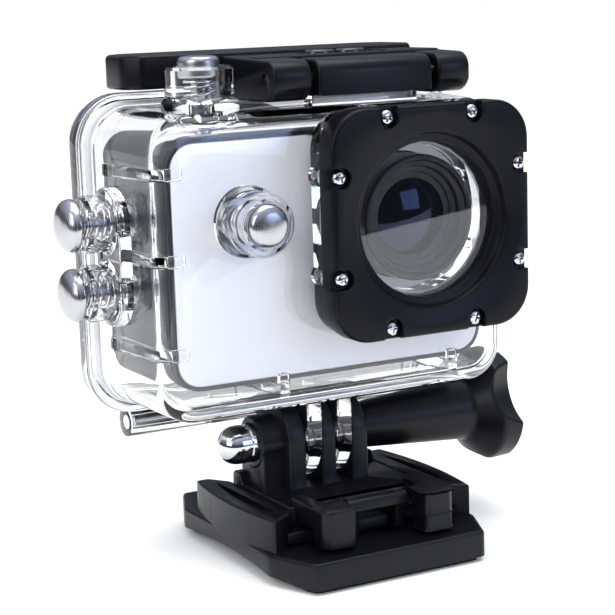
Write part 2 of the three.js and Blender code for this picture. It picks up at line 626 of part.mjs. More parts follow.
function buckle() {
  const { x } = BASE;
  const rearStep = polygon(
    [17.5, DECK.top - 1], [DECK.back, DECK.top - 1], [DECK.back, -43.2], [20.8, -42.6], [19, -42.6],
  );
  const tabBar = polygon(
    [-5.6, -44.4], [-4.8, -43.2], [-3, -43.2], [-2.6, -44.4], [-2.6, -45.4], [-5.6, -45.4],
  );
  const tabLeg = (middle) => block([middle - 0.9, middle + 0.9], [-4.6, 2], [-49.4, -44.6]);
  const nutEnds = [NUT_BOSS.left, EARS[0][0] + 0.5];
  const nutFoot = polygon(
    [TILT.y - NUT_BOSS.radius, DECK.top - 0.5], [TILT.y + NUT_BOSS.radius, DECK.top - 0.5],
    [TILT.y + NUT_BOSS.radius, TILT.z], [TILT.y - NUT_BOSS.radius, TILT.z],
  );
  const body = join(
    block([x - TONGUE.half, x + TONGUE.half], [TONGUE.front, TONGUE.back], [TONGUE.bottom, TONGUE.top]),
    block([x - DECK.half, x + DECK.half], [DECK.front, DECK.back], [TONGUE.bottom, DECK.top]),
    alongX(rearStep, x - DECK.half, x + DECK.half),
    alongX(tabBar, x - 5.4, x + 5.4),
    tabLeg(x - 4.3),
    tabLeg(x + 4.3),
    clipArm(-1),
    clipArm(1),
    ...EARS.map(ear),
    rod(NUT_BOSS.radius, ...nutEnds, "x", TILT_AXIS, 24),
    alongX(nutFoot, ...nutEnds),
  );
  return cut(
    body,
    ...PRONGS.map(([a, b]) => rod(PRONG_RADIUS + GAP, a - GAP / 2, b + GAP / 2, "x", TILT_AXIS, 24)),
    rod(BOLT.hole, -40, 0, "x", TILT_AXIS, 24),
    rod(NUT.radius + SNUG, -30, NUT.back + 0.2, "x", TILT_AXIS, 24),
  );
}

part("quick_release_buckle", BLACK, buckle());

// ---------------------------------------------------------------- adhesive mount

/** The mount's plan: a rectangle with its four corners cut off. */
function basePlan(inset) {
  const { x, half, front, back } = BASE;
  const nose = BASE_NOSE - inset * 0.6;
  const wide = half - inset;
  const [f, b] = [front + inset, back - inset];
  return polygon(
    [x - nose, f], [x + nose, f], [x + wide, f + BASE_CORNER], [x + wide, b - BASE_CORNER],
    [x + nose, b], [x - nose, b], [x - wide, b - BASE_CORNER], [x - wide, f + BASE_CORNER],
  );
}

/** The cylinder that hollows the underside, so that the mount sits on a curved helmet or on its two ends. */
function archUnder(bottom) {
  const middle = (BASE.front + BASE.back) / 2;
  const reach = (BASE.back - BASE.front) / 2 - 3;
  const drop = Math.sqrt(BASE.arch ** 2 - reach ** 2);
  return rod(BASE.arch, BASE.x - 40, BASE.x + 40, "x", [0, middle, bottom - drop], 240);
}

function rail(side) {
  const { x, half } = BASE;
  const { front, back, top, inner } = RAIL;
  const s = (distance) => x + side * distance;
  const plan = new THREE.Shape();
  plan.moveTo(s(inner), front + 3);
  plan.lineTo(s(half - 1.2), front);
  plan.quadraticCurveTo(s(half + 1.6), (front + back) / 2, s(half - 1.2), back);
  plan.lineTo(s(inner + 2.6), back);
  plan.lineTo(s(inner), back - 4);
  plan.closePath();
  const groove = new THREE.Shape();
  groove.moveTo(s(half - 3.4), front + 4);
  groove.quadraticCurveTo(s(half - 0.6), (front + back) / 2, s(half - 3.4), back - 3);
  groove.quadraticCurveTo(s(half - 3.8), (front + back) / 2, s(half - 3.4), front + 4);
  return cut(alongZ(plan, BASE.top - 1, top, 0, 8), alongZ(groove, top - 2.5, top + 1, 0, 8));
}

function baseMount() {
  const { x, front, back, top, bottom } = BASE;
  const channelEnd = TONGUE.back + GAP;
  const wall = 1;
  const plate = cut(alongZ(basePlan(0), bottom, top), archUnder(bottom));
  const channel = block(
    [x - RAIL.channel, x + RAIL.channel], [front - wall, channelEnd], [top, RAIL.channelTop],
  );
  const stop = block(
    [x - RAIL.channel - wall, x + RAIL.channel + wall], [channelEnd, RAIL.back - 0.5], [top - 0.5, -46.5],
  );
  const key = block([x - 2, x + 2], [back - 4, back - 1], [top - 1, top + 0.6]);
  return join(cut(join(plate, rail(-1), rail(1)), channel), stop, key);
}

/** The foam pad follows the underside of the mount. */
function adhesivePad() {
  const top = BASE.bottom - PAD.gap;
  const bottom = BASE.bottom - PAD.thickness;
  const blank = alongZ(basePlan(PAD.inset), bottom, BASE.top - 1);
  const belowPlate = join(archUnder(top), block([-60, 30], [-30, 60], [bottom - 1, top]));
  return cut(blank.intersect(belowPlate), archUnder(bottom));
}

part("base_mount", BLACK, baseMount());
part("adhesive_pad", FOAM, adhesivePad());

// ---------------------------------------------------------------- onto its origin

const bounds = new THREE.Box3().setFromObject(object);
const footprint = bounds.getCenter(new THREE.Vector3()).setZ(bounds.min.z);
object.position.copy(footprint.negate());

export default object;
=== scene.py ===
# %% [markdown]
# # An action camera in its clear waterproof case
#
# The case stands on a quick-release buckle in an adhesive mount. The design comes in as a fixed
# frame of plain faceted parts, and this lesson builds the finished surface of each one round it.
# Every piece is drawn in millimetres from one datum: the lens axis, at the front face of the
# bezel. From there +X is the right side as you face the lens, +Y goes into the case and +Z is up.

# %% Load the frame
import json
import math

import bmesh
import bpy
import numpy as np
from mathutils import Matrix, Vector


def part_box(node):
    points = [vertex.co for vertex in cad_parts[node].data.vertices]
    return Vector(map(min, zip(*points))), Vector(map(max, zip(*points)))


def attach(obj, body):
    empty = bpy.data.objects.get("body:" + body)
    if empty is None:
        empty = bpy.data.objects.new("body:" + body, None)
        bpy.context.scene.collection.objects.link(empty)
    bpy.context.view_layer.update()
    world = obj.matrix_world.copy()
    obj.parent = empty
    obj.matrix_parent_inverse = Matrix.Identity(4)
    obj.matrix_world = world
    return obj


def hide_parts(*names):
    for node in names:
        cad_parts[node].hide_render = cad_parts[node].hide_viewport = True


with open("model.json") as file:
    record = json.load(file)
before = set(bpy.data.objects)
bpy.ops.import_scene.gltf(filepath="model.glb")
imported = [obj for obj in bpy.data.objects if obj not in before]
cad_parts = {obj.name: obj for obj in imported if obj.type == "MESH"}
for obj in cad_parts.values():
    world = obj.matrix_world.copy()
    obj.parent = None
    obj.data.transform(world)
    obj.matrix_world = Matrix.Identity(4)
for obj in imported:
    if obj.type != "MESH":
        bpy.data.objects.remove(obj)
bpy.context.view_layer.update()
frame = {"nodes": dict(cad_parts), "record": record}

MM = 0.001
bezel_low, bezel_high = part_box("lens_bezel")
DATUM = np.array([(bezel_low.x + bezel_high.x) / 2, bezel_low.y, (bezel_low.z + bezel_high.z) / 2])
BODY_OF = {node: body for body, nodes in frame["record"]["behaviour"]["bodies"].items() for node in nodes}


def span(node):
    """A frame node's lowest and highest corners in millimetres from the datum."""
    low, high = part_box(node)
    return (np.array(low) - DATUM) / MM, (np.array(high) - DATUM) / MM


print("nodes in the frame:", len(frame["nodes"]))

# %% [markdown]
# ## Drawing a solid as a stack of loops
#
# Nearly every moulded or turned piece can be described by two parameters: how far round its
# outline a point lies, and how far along a profile. So one builder is enough. It takes a stack of
# loops with the same number of points each, joins neighbours with quads, and caps the two ends.
# A bevel modifier could round the edges afterwards, but when the rounding is part of the profile
# the edge keeps an even width round the whole outline.

# %% Outlines


def rounded(left, right, bottom, top, radius, steps=9):
    """A rounded rectangle: four quarter circles about the four corner centres."""
    turn = np.radians(np.linspace(0, 90, steps))
    start = np.radians([-90, 0, 90, 180])[:, None]
    across = np.array([right - radius, right - radius, left + radius, left + radius])[:, None]
    up = np.array([bottom + radius, top - radius, top - radius, bottom + radius])[:, None]
    ring = np.stack([across + radius * np.cos(start + turn), up + radius * np.sin(start + turn)], -1)
    return ring.reshape(-1, 2)


def soften(corners, cut, steps=5, closed=True):
    """Rounds the corners of a path. Each corner P becomes the curve (1-t)^2 A + 2t(1-t) P + t^2 B
    between points A and B that lie a cut away from P along its two sides."""
    p = np.asarray(corners, float)
    before, after = np.roll(p, 1, 0) - p, np.roll(p, -1, 0) - p
    before_length, after_length = np.linalg.norm(before, axis=1), np.linalg.norm(after, axis=1)
    reach = np.minimum(np.minimum(cut, before_length * 0.48), after_length * 0.48)
    if not closed:
        reach[[0, -1]] = 0
    a = p + before * (reach / before_length)[:, None]
    b = p + after * (reach / after_length)[:, None]
    t = np.linspace(0, 1, steps)[None, :, None]
    curve = (1 - t) ** 2 * a[:, None] + 2 * t * (1 - t) * p[:, None] + t**2 * b[:, None]
    curve = curve.reshape(-1, 2)
    return curve if closed else curve[steps - 1 : len(curve) - steps + 1]


def circle(across, up, radius, sides=64):
    """A circle as an outline."""
    turn = np.linspace(0, 2 * np.pi, sides, endpoint=False)
    return np.stack([across + radius * np.cos(turn), up + radius * np.sin(turn)], 1)


def shrink(outline, distance):
    """Moves every side of an anticlockwise outline inwards: each corner shifts along the sum of its
    two sides' inward normals, divided by one plus their dot product."""
    side = np.roll(outline, -1, 0) - outline
    side = side / np.linalg.norm(side, axis=1)[:, None]
    inward = np.stack([-side[:, 1], side[:, 0]], 1)
    both = inward + np.roll(inward, 1, 0)
    return outline + distance * both / np.maximum((both * inward).sum(1), 0.5)[:, None]


# %% Loops, grids and solids


def stand(outline, height, axis):
    """Places a flat outline at a height along an axis. Along x the outline is (y, z), along y it is
    (x, z) and along z it is (x, y)."""
    h = np.full(len(outline), float(height))
    a, b = outline[:, 0], outline[:, 1]
    return np.stack({"x": (h, a, b), "y": (a, h, b), "z": (a, b, h)}[axis], 1)


def grid_faces(rows, columns, wrap):
    """The four corner numbers of every quad in a grid whose columns close on themselves."""
    row = np.arange(rows if wrap else rows - 1)[:, None]
    column = np.arange(columns)[None, :]
    next_row, next_column = (row + 1) % rows, (column + 1) % columns
    corners = (row * columns + column, row * columns + next_column,
               next_row * columns + next_column, next_row * columns + column)
    return np.stack(np.broadcast_arrays(*corners), -1).reshape(-1, 4).tolist()


def solid(name, loops, ring=False):
    """A closed body from loops of shape (loops, points, 3). A ring joins its last loop to its first."""
    loops = np.asarray(loops)
    rows, columns = loops.shape[:2]
    faces = grid_faces(rows, columns, ring)
    if not ring:
        faces += [list(range(columns)), list(range((rows - 1) * columns, rows * columns))]
    mesh = bpy.data.meshes.new(name)
    mesh.from_pydata((DATUM + MM * loops.reshape(-1, 3)).tolist(), [], faces)
    return closed_object(name, mesh)


def closed_object(name, mesh):
    """Merges doubled points at seams and poles, and turns all faces outwards."""
    work = bmesh.new()
    work.from_mesh(mesh)
    bmesh.ops.remove_doubles(work, verts=work.verts, dist=1e-6)
    bmesh.ops.recalc_face_normals(work, faces=work.faces)
    work.to_mesh(mesh)
    work.free()
    piece = bpy.data.objects.new(name, mesh)
    bpy.context.scene.collection.objects.link(piece)
    return piece


def prism(name, axis, outline, start, end, edge=0.3, steps=3):
    """An outline carried along an axis. Near each end the loop draws in by edge (1 - sin u) while
    it advances by edge (1 - cos u), which is a quarter circle. An edge pair rounds the ends apart."""
    outline = np.asarray(outline, float)
    first, last = edge if isinstance(edge, tuple) else (edge, edge)
    turn = np.radians(np.linspace(0, 90, steps + 1))
    draw, climb = 1 - np.sin(turn), 1 - np.cos(turn)
    insets = np.concatenate([first * draw, last * draw[::-1]])
    heights = np.concatenate([start + first * climb, end - last * climb[::-1]])
    return solid(name, [stand(shrink(outline, i), h, axis) for i, h in zip(insets, heights)])


def box(name, x, y, z, edge=0.3):
    """A block with all its edges softened."""
    outline = soften([(x[0], y[0]), (x[1], y[0]), (x[1], y[1]), (x[0], y[1])], max(edge, 0.02), 4)
    return prism(name, "z", outline, z[0], z[1], edge)


def turned(name, axis, centre, profile, facing=1, sides=64, ring=False, cut=0.0):
    """A profile of (radius, height) points turned about an axis through a centre."""
    profile = np.asarray(profile, float)
    if cut:
        profile = soften(profile, cut, 4, closed=ring)
    turn = np.linspace(0, 2 * np.pi, sides, endpoint=False)
    spokes = np.stack([np.cos(turn), np.sin(turn)], 1)
    loops = [stand(r * spokes, facing * h, axis) for r, h in profile]
    return solid(name, np.asarray(loops) + np.asarray(centre, float), ring)


def rod(name, axis, centre, radius, start, end, edge=0.0, sides=48):
    """A plain round bar."""
    return prism(name, axis, circle(*flat(centre, axis), radius, sides), start, end, edge)


def flat(centre, axis):
    """The two coordinates of a point that lie across an axis."""
    return [c for c, name in zip(centre, "xyz") if name != axis]


# %% Joining, cutting and finishing


def combine(piece, operation, *others):
    """Joins others to a piece with operation UNION, or cuts them out of it with DIFFERENCE."""
    for other in others:
        step = piece.modifiers.new(operation.lower(), "BOOLEAN")
        step.operation, step.solver, step.object = operation, "MANIFOLD", other
    graph = bpy.context.evaluated_depsgraph_get()
    result = bpy.data.meshes.new_from_object(piece.evaluated_get(graph))
    piece.modifiers.clear()
    piece.data = result
    for other in others:
        bpy.data.objects.remove(other)
    return piece


def finish(piece, material, node, sharp=32, bevel=0.0, stands_in=True):
    """Gives a piece its material, its shading and its body, and hides the frame node that it stands for."""
    if bevel:
        soft = piece.modifiers.new("soft_edges", "BEVEL")
        soft.width, soft.segments, soft.limit_method = bevel * MM, 2, "ANGLE"
        soft.angle_limit, soft.use_clamp_overlap = math.radians(38), True
        combine(piece, "UNION")
    piece.data.materials.clear()
    piece.data.materials.append(material)
    piece.data.shade_smooth()
    piece.data.set_sharp_from_angle(angle=math.radians(sharp))
    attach(piece, BODY_OF[node])
    if stands_in:
        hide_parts(node)
    return piece


# %% [markdown]
# ## Finishes
#
# One helper makes a Principled surface, and small functions add what each real finish has: the
# fine grain of spark-eroded nylon, the lathe rings of a faced steel cap, the flow waves of a
# clear moulding. Values that are the same all over sit on the shader's own sockets.

# %% A principled surface and its textures


def surface(name, colour, roughness, **sockets):
    """A material with one Principled shader, whose sockets are set by name."""
    material = bpy.data.materials.new(name)
    material.use_nodes = True
    shader = material.node_tree.nodes["Principled BSDF"]
    shader.inputs["Base Color"].default_value = (*colour, 1)
    shader.inputs["Roughness"].default_value = roughness
    for socket, value in sockets.items():
        shader.inputs[socket.replace("_", " ")].default_value = value
    return material


def node(material, kind, **settings):
    """Adds a node to a material. Settings name its sockets, or its own properties."""
    made = material.node_tree.nodes.new(kind)
    for key, value in settings.items():
        if key in made.inputs:
            made.inputs[key].default_value = value
        else:
            setattr(made, key, value)
    return made


def link(material, source, target):
    material.node_tree.links.new(source, target)


def object_coordinates(material):
    return node(material, "ShaderNodeTexCoord").outputs["Object"]


def speckle(material, scale, detail=3.0):
    """A noise texture on the piece's own coordinates. scale is in features per metre."""
    noise = node(material, "ShaderNodeTexNoise", Scale=scale, Detail=detail)
    link(material, object_coordinates(material), noise.inputs["Vector"])
    return noise.outputs["Fac"]


def roughen(material, source, low, high):
    """Lets a texture move the roughness between two values."""
    spread = node(material, "ShaderNodeMapRange")
    spread.inputs["To Min"].default_value, spread.inputs["To Max"].default_value = low, high
    link(material, source, spread.inputs["Value"])
    link(material, spread.outputs["Result"],
         material.node_tree.nodes["Principled BSDF"].inputs["Roughness"])


def emboss(material, source, height_mm, strength=1.0):
    """Lets a texture raise the surface by a height."""
    bump = node(material, "ShaderNodeBump", Strength=strength, Distance=height_mm * MM)
    link(material, source, bump.inputs["Height"])
    link(material, bump.outputs["Normal"], material.node_tree.nodes["Principled BSDF"].inputs["Normal"])


def tint(material, source, dark, light):
    """Lets a texture move the colour between two."""
    ramp = node(material, "ShaderNodeValToRGB")
    ramp.color_ramp.elements[0].color, ramp.color_ramp.elements[1].color = (*dark, 1), (*light, 1)
    link(material, source, ramp.inputs["Fac"])
    link(material, ramp.outputs["Color"], material.node_tree.nodes["Principled BSDF"].inputs["Base Color"])


def grained(name, colour, light, roughness, grain_per_mm, height_mm, shine=0.4):
    """A moulded plastic: fine grain that raises the surface, with roughness and colour that wander."""
    material = surface(name, colour, roughness, Specular_IOR_Level=shine)
    emboss(material, speckle(material, grain_per_mm / MM, 2.0), height_mm)
    roughen(material, speckle(material, 150.0), roughness - 0.06, roughness + 0.07)
    tint(material, speckle(material, 90.0), colour, light)
    return material


# %% Black and grey mouldings
BLACK_BEZEL = grained("satin_black_bezel", (0.002, 0.002, 0.0034), (0.003, 0.003, 0.0048), 0.32, 5.0,
                      0.006, 0.16)
BLACK_LATCH = grained("satin_black_latch", (0.0022, 0.0022, 0.0036), (0.003, 0.003, 0.005), 0.3, 4.0,
                      0.006, 0.22)
BLACK_NYLON = grained("grained_black_nylon", (0.0022, 0.0022, 0.0034), (0.0036, 0.0036, 0.0054), 0.33,
                      3.5, 0.012, 0.24)
DARK_GREY = grained("dark_grey_casing", (0.012, 0.013, 0.02), (0.02, 0.021, 0.03), 0.5, 4.0, 0.01)
DARK_RIM = grained("dark_plate_edge", (0.008, 0.008, 0.012), (0.012, 0.012, 0.018), 0.45, 4.0, 0.01)
RUBBER = grained("black_rubber", (0.006, 0.006, 0.007), (0.011, 0.011, 0.012), 0.7, 2.5, 0.02)
SILICONE = grained("white_silicone", (0.75, 0.76, 0.77), (0.82, 0.83, 0.84), 0.55, 1.5, 0.01)
FOAM_TAPE = grained("black_foam_tape", (0.006, 0.006, 0.007), (0.012, 0.012, 0.013), 0.85, 1.2, 0.04)
WHITE_PLATE = grained("satin_white_plate", (0.75, 0.75, 0.79), (0.78, 0.78, 0.82), 0.34, 5.0, 0.003)

# %% Metals


def lathe_rings(name, colour, centre, axis, pitch_mm=0.22):
    """Steel faced on a lathe: rings of a fixed pitch about the piece's own axis raise the surface."""
    material = surface(name, colour, 0.2, Metallic=1.0, Anisotropic=0.4)
    move = node(material, "ShaderNodeMapping", vector_type="POINT")
    move.inputs["Location"].default_value = tuple(-(DATUM + MM * np.asarray(centre, float)))
    link(material, object_coordinates(material), move.inputs["Vector"])
    rings = node(material, "ShaderNodeTexWave", wave_type="RINGS", rings_direction=axis.upper(),
                 wave_profile="SIN")
    rings.inputs["Scale"].default_value = 0.314 / (pitch_mm * MM)
    rings.inputs["Distortion"].default_value = 0.6
    link(material, move.outputs["Vector"], rings.inputs["Vector"])
    emboss(material, rings.outputs["Fac"], 0.0035)
    roughen(material, rings.outputs["Fac"], 0.16, 0.3)
    return material


def plated(name, colour, roughness):
    """Bright plated steel with faint handling marks in its gloss."""
    material = surface(name, colour, roughness, Metallic=1.0)
    roughen(material, speckle(material, 700.0, 5.0), roughness * 0.6, roughness * 1.7)
    return material


CHROME = plated("bright_plated_steel", (0.62, 0.62, 0.64), 0.07)
SPRING_STEEL = plated("drawn_spring_wire", (0.66, 0.66, 0.68), 0.14)
PIN_STEEL = plated("ground_pin_steel", (0.55, 0.55, 0.57), 0.2)

# %% Clear mouldings


def clear(name, colour, roughness, bend, wave_mm=0.0):
    """A clear plastic or glass. Lamps shine through it: for shadow rays the shader is swapped for a
    transparent one, because light bent by a thick wall would take far too many rays to find."""
    material = surface(name, colour, roughness, Transmission_Weight=1.0, IOR=bend)
    if wave_mm:
        emboss(material, speckle(material, 45.0, 1.0), wave_mm)
    tree = material.node_tree
    through = node(material, "ShaderNodeBsdfTransparent")
    through.inputs["Color"].default_value = (0.93, 0.94, 0.96, 1)
    mix = node(material, "ShaderNodeMixShader")
    path = node(material, "ShaderNodeLightPath")
    link(material, path.outputs["Is Shadow Ray"], mix.inputs[0])
    link(material, tree.nodes["Principled BSDF"].outputs[0], mix.inputs[1])
    link(material, through.outputs[0], mix.inputs[2])
    link(material, mix.outputs[0], tree.nodes["Material Output"].inputs["Surface"])
    return material


CLEAR_CASE = clear("clear_polycarbonate", (0.985, 0.988, 0.995), 0.015, 1.5, 0.06)
PORT_GLASS = clear("port_glass", (0.97, 0.98, 0.99), 0.0, 1.5)
LENS_GLASS = surface("coated_lens_glass", (0.001, 0.0012, 0.003), 0.03, Specular_IOR_Level=0.5,
                     Specular_Tint=(0.5, 0.6, 1.0, 1))
SCREEN = surface("dark_display", (0.006, 0.006, 0.008), 0.08, Coat_Weight=1.0, Coat_Roughness=0.02)
LENS_BLACK = grained("anodised_barrel", (0.003, 0.003, 0.0045), (0.0045, 0.0045, 0.006), 0.3, 6.0, 0.004)
BOARD = grained("green_solder_mask", (0.01, 0.07, 0.03), (0.015, 0.1, 0.04), 0.35, 0.6, 0.02)
CELL = grained("blue_battery_sleeve", (0.015, 0.03, 0.12), (0.025, 0.045, 0.16), 0.4, 1.0, 0.01)
print("finishes made:", len(bpy.data.materials))

# %% [markdown]
# ## The camera body inside the case
#
# The body is a dark grey tube with rounded corners, closed by a white front plate and a back
# cover. The plate's own edge is dark, and it shows as a thin line round the white. It could be
# painted on, but a separate frame round the white panel gives the line real depth.

# %% Sizes taken from the frame
body_low, body_high = span("camera_body")
plate_low, plate_high = span("camera_front_plate")
cover_low, cover_high = span("camera_back_cover")
CAMERA_RADIUS = 5.0


def camera_outline(inset):
    """The camera's rounded outline, drawn in by an inset."""
    return rounded(body_low[0] + inset, body_high[0] - inset, body_low[2] + inset, body_high[2] - inset,
                   CAMERA_RADIUS - inset)


def tube(name, axis, outside, inside, start, end, edge=0.15):
    """A wall between two outlines with the same number of points, closed into a ring."""
    heights = [start + edge, start, start, start + edge, end - edge, end, end, end - edge]
    outlines = [outside, shrink(outside, edge), shrink(inside, -edge), inside,
                inside, shrink(inside, -edge), shrink(outside, edge), outside]
    return solid(name, [stand(o, h, axis) for o, h in zip(outlines, heights)], ring=True)


# %% Body, plate and back cover
body = tube("camera_casing", "y", camera_outline(0), camera_outline(1.5), body_low[1], body_high[1], 0.2)
grooves = [box(f"groove_{i}", (body_low[0] - 1, body_low[0] + 0.35), (15, 30), (z - 0.22, z + 0.22), 0)
           for i, z in enumerate((12.4, 11.3, 10.2, 9.1))]
combine(body, "DIFFERENCE", *grooves)
finish(body, DARK_GREY, "camera_body")

frame_ring = tube("front_plate_frame", "y", camera_outline(0.1), camera_outline(0.75), plate_low[1] + 0.05,
                  plate_high[1], 0.12)
finish(frame_ring, DARK_RIM, "camera_front_plate", stands_in=False)
plate = prism("white_front_panel", "y", camera_outline(0.8), plate_low[1], plate_high[1], (0.35, 0.1), 5)
plate_cuts = [rod("lens_hole", "y", (0, 0, 0), 10.85, 0, 20),
              rod("button_hole", "y", (-30.6, 0, 1.8), 4.05, 0, 20)]
finish(combine(plate, "DIFFERENCE", *plate_cuts), WHITE_PLATE, "camera_front_plate")

screen_low, screen_high = span("camera_screen")
cover = prism("camera_rear_panel", "y", camera_outline(0), cover_low[1], cover_high[1], (0.1, 0.9), 5)
window = prism("screen_window", "y", rounded(screen_low[0] - 0.1, screen_high[0] + 0.1, screen_low[2] - 0.1,
               screen_high[2] + 0.1, 1.2), screen_low[1] - 0.1, 50, 0)
combine(cover, "DIFFERENCE", window)
finish(cover, DARK_GREY, "camera_back_cover", bevel=0.15)
screen = prism("rear_display", "y", rounded(screen_low[0], screen_high[0], screen_low[2], screen_high[2],
                                            1.1),
               screen_low[1], screen_high[1], (0, 0.15))
finish(screen, SCREEN, "camera_screen")

# %% [markdown]
# ## The lens
#
# Seen from the front, a lens is a nest of dark rings at different depths round a domed glass. It
# is a turned piece, so one profile of radius against depth makes it. Each step in the profile
# catches its own thin line of light, so every corner is rounded a little.

# %% Barrel and front element
BARREL = [(10.6, 13.8), (10.6, 5.5), (10.3, 5.2), (9.75, 5.2), (9.6, 5.35), (9.6, 6.0), (9.3, 6.25),
          (8.75, 6.25),
          (8.6, 6.4), (8.6, 7.3), (8.4, 7.45), (7.6, 7.45), (7.6, 8.0), (6.5, 8.0), (6.5, 9.0), (5, 9.2),
          (5, 19.4),
          (7.6, 19.4), (7.6, 13.8)]
barrel = turned("lens_barrel_rings", "y", (0, 0, 0), BARREL, sides=128, ring=True, cut=0.12)
finish(barrel, LENS_BLACK, "lens_barrel")

DOME_RADIUS = 15.2
rim_angle = math.asin(6.3 / DOME_RADIUS)
sweep = np.linspace(0, rim_angle, 14)
dome = np.stack([DOME_RADIUS * np.sin(sweep), 7.05 + DOME_RADIUS * (1 - np.cos(sweep))], 1)
element = turned("front_element", "y", (0, 0, 0), [*dome, (6.3, 8.9), (0, 8.9)], sides=96)
finish(element, LENS_GLASS, "lens_front_element")

# %% [markdown]
# ## The clear case
#
# The front shell is one clear moulding: a tray with a flange, a boss for the lens port, four
# button collars, locating ribs, two prongs and two hinge knuckles. Clear plastic shows both faces
# of its wall, so the tray is one closed skin with an outside and an inside, made as a single stack
# of loops that runs down the outside, round the flange and back up the inside. The other features
# are joined with booleans, because a face left inside clear plastic would show.

# %% The tray and its flange
WALL = 2.0
SHELL = (body_low[0] - 5.1, body_high[0] + 3.1, body_low[2] - 4.3, body_high[2] + 4.6)
DRAFT = (1.7, -0.2, -0.4, -0.9)
SHELL_FRONT, SHELL_RADIUS = 8.0, 6.5
FLANGE = (SHELL[0] - 3.0, SHELL[1] + 3.0, SHELL[2] - 1.8, SHELL[3] + 2.2)
FLANGE_FRONT, FLANGE_BACK, FLANGE_RADIUS = 28.0, 31.2, 8.5


def inset_box(box_sides, radius, inset):
    """A rounded rectangle drawn in by an inset, with its corner radius to match."""
    left, right, bottom, top = box_sides
    return rounded(left + inset, right - inset, bottom + inset, top - inset, max(radius - inset, 0.4), 12)


def quarter(inset, height, radius, start, end, steps=6):
    """Points of an arc in the (inset, height) plane, from one angle to another in degrees."""
    turn = np.radians(np.linspace(start, end, steps))
    return np.stack([inset + radius * np.cos(turn), height + radius * np.sin(turn)], 1)


def drafted(height):
    """The shell's sides at a height. They lean in towards the front, so the moulding leaves its tool."""
    rise = (FLANGE_FRONT - height) / (FLANGE_FRONT - SHELL_FRONT)
    return tuple(side + lean * max(rise, 0) for side, lean in zip(SHELL, DRAFT))


def tray():
    """The tray's skin. Insets run from the outside of each outline, heights run backwards."""
    edge, inner = 2.4, 1.3
    outside = np.concatenate([quarter(edge, SHELL_FRONT + edge, edge, 270, 180),
                              [(0, FLANGE_FRONT - 0.9)], quarter(-0.5, FLANGE_FRONT - 0.5, 0.5, 0, 90, 4)])
    rim = np.concatenate([quarter(0.5, FLANGE_FRONT + 0.5, 0.5, 270, 180, 4),
                          quarter(0.5, FLANGE_BACK - 0.5, 0.5, 180, 90, 4)])
    floor_height = SHELL_FRONT + WALL + inner
    inside = np.concatenate([[(WALL, FLANGE_BACK)],
                             quarter(WALL + inner, floor_height, inner, 180, 270, 4)])
    loops = [stand(inset_box(drafted(h), SHELL_RADIUS, i), h, "y") for i, h in outside]
    loops += [stand(inset_box(FLANGE, FLANGE_RADIUS, i), h, "y") for i, h in rim]
    loops += [stand(inset_box(drafted(h), SHELL_RADIUS, i), h, "y") for i, h in inside]
    return solid("clear_front_shell", loops)


# %% Ribs, boss, prongs and knuckles
SCREW_NEAR, SCREW_FAR = 8.2, 17.3
SCREWS = [(a * SCREW_NEAR, s * SCREW_FAR) for s in (-1, 1) for a in (-1, 1)]
SCREWS += [(s * SCREW_FAR, a * SCREW_NEAR) for s in (-1, 1) for a in (-1, 1)]
TILT = np.array([0, 16.5, -37.0])
HINGE = np.array([0, 29.6, -33.6])
PRONGS = ((-19.9, -17.1), (-14.1, -11.3))
KNUCKLES = ((-44.5, -28.9), (-1.1, 14.5))


def rib_pieces():
    """Bars that run back along the left wall and wrap on to the front, and two across the bottom."""
    inner_left, inner_bottom, inner_front = SHELL[0] + 2.2, SHELL[2] + 1.2, SHELL_FRONT + 1
    pieces = []
    for i, z in enumerate((10, -3.8, -19)):
        z_span = (z - 1.0, z + 1.0)
        pieces.append(box(f"rib_{i}a", (inner_left, body_low[0] - 0.3), (inner_front, 27), z_span, 0.3))
        pieces.append(box(f"rib_{i}b", (inner_left, body_low[0] + 2.2), (inner_front, plate_low[1] - 0.3),
                          z_span, 0.3))
    for i, x in enumerate((-24, 9)):
        x_span = (x - 0.9, x + 0.9)
        pieces.append(box(f"rib_{i}c", x_span, (inner_front, 27), (inner_bottom, body_low[2] - 0.3), 0.3))
        pieces.append(box(f"rib_{i}d", x_span, (inner_front, plate_low[1] - 0.3),
                          (inner_bottom, body_low[2] + 1.5), 0.3))
    return pieces


def prong(index, left, right):
    """A flat arm that ends in a half circle about the tilt axis."""
    radius = 7.0
    turn = np.radians(np.linspace(180, 360, 25))
    arc = np.stack([TILT[1] + radius * np.cos(turn), TILT[2] + radius * np.sin(turn)], 1)
    arm = np.concatenate([arc, [(TILT[1] + radius, SHELL[2] + 1.2), (TILT[1] - radius, SHELL[2] + 1.2)]])
    return prism(f"prong_{index}", "x", arm, left, right, 0.35)


def boss_pieces():
    """The square boss behind the bezel, with a round bump at each screw."""
    half, front = 18.6, 4.7
    pieces = [prism("boss", "y", rounded(-half, half, -half, half, 6.2), front, SHELL_FRONT + 1, 0.25)]
    for i, (x, z) in enumerate(SCREWS):
        pieces.append(prism(f"bump_{i}", "y", circle(x, z, 1.9, 20), front + 0.2, SHELL_FRONT + 0.9, 0.3))
    return pieces


# %% [markdown]
# ## The case's four push buttons
#
# Each button is a collar moulded on the shell, a spring in the collar's well, and a steel plunger
# with a turned cap. All four are described along their own outward axis, so one set of functions
# makes them all. Height 0 is the outside of the shell's wall.

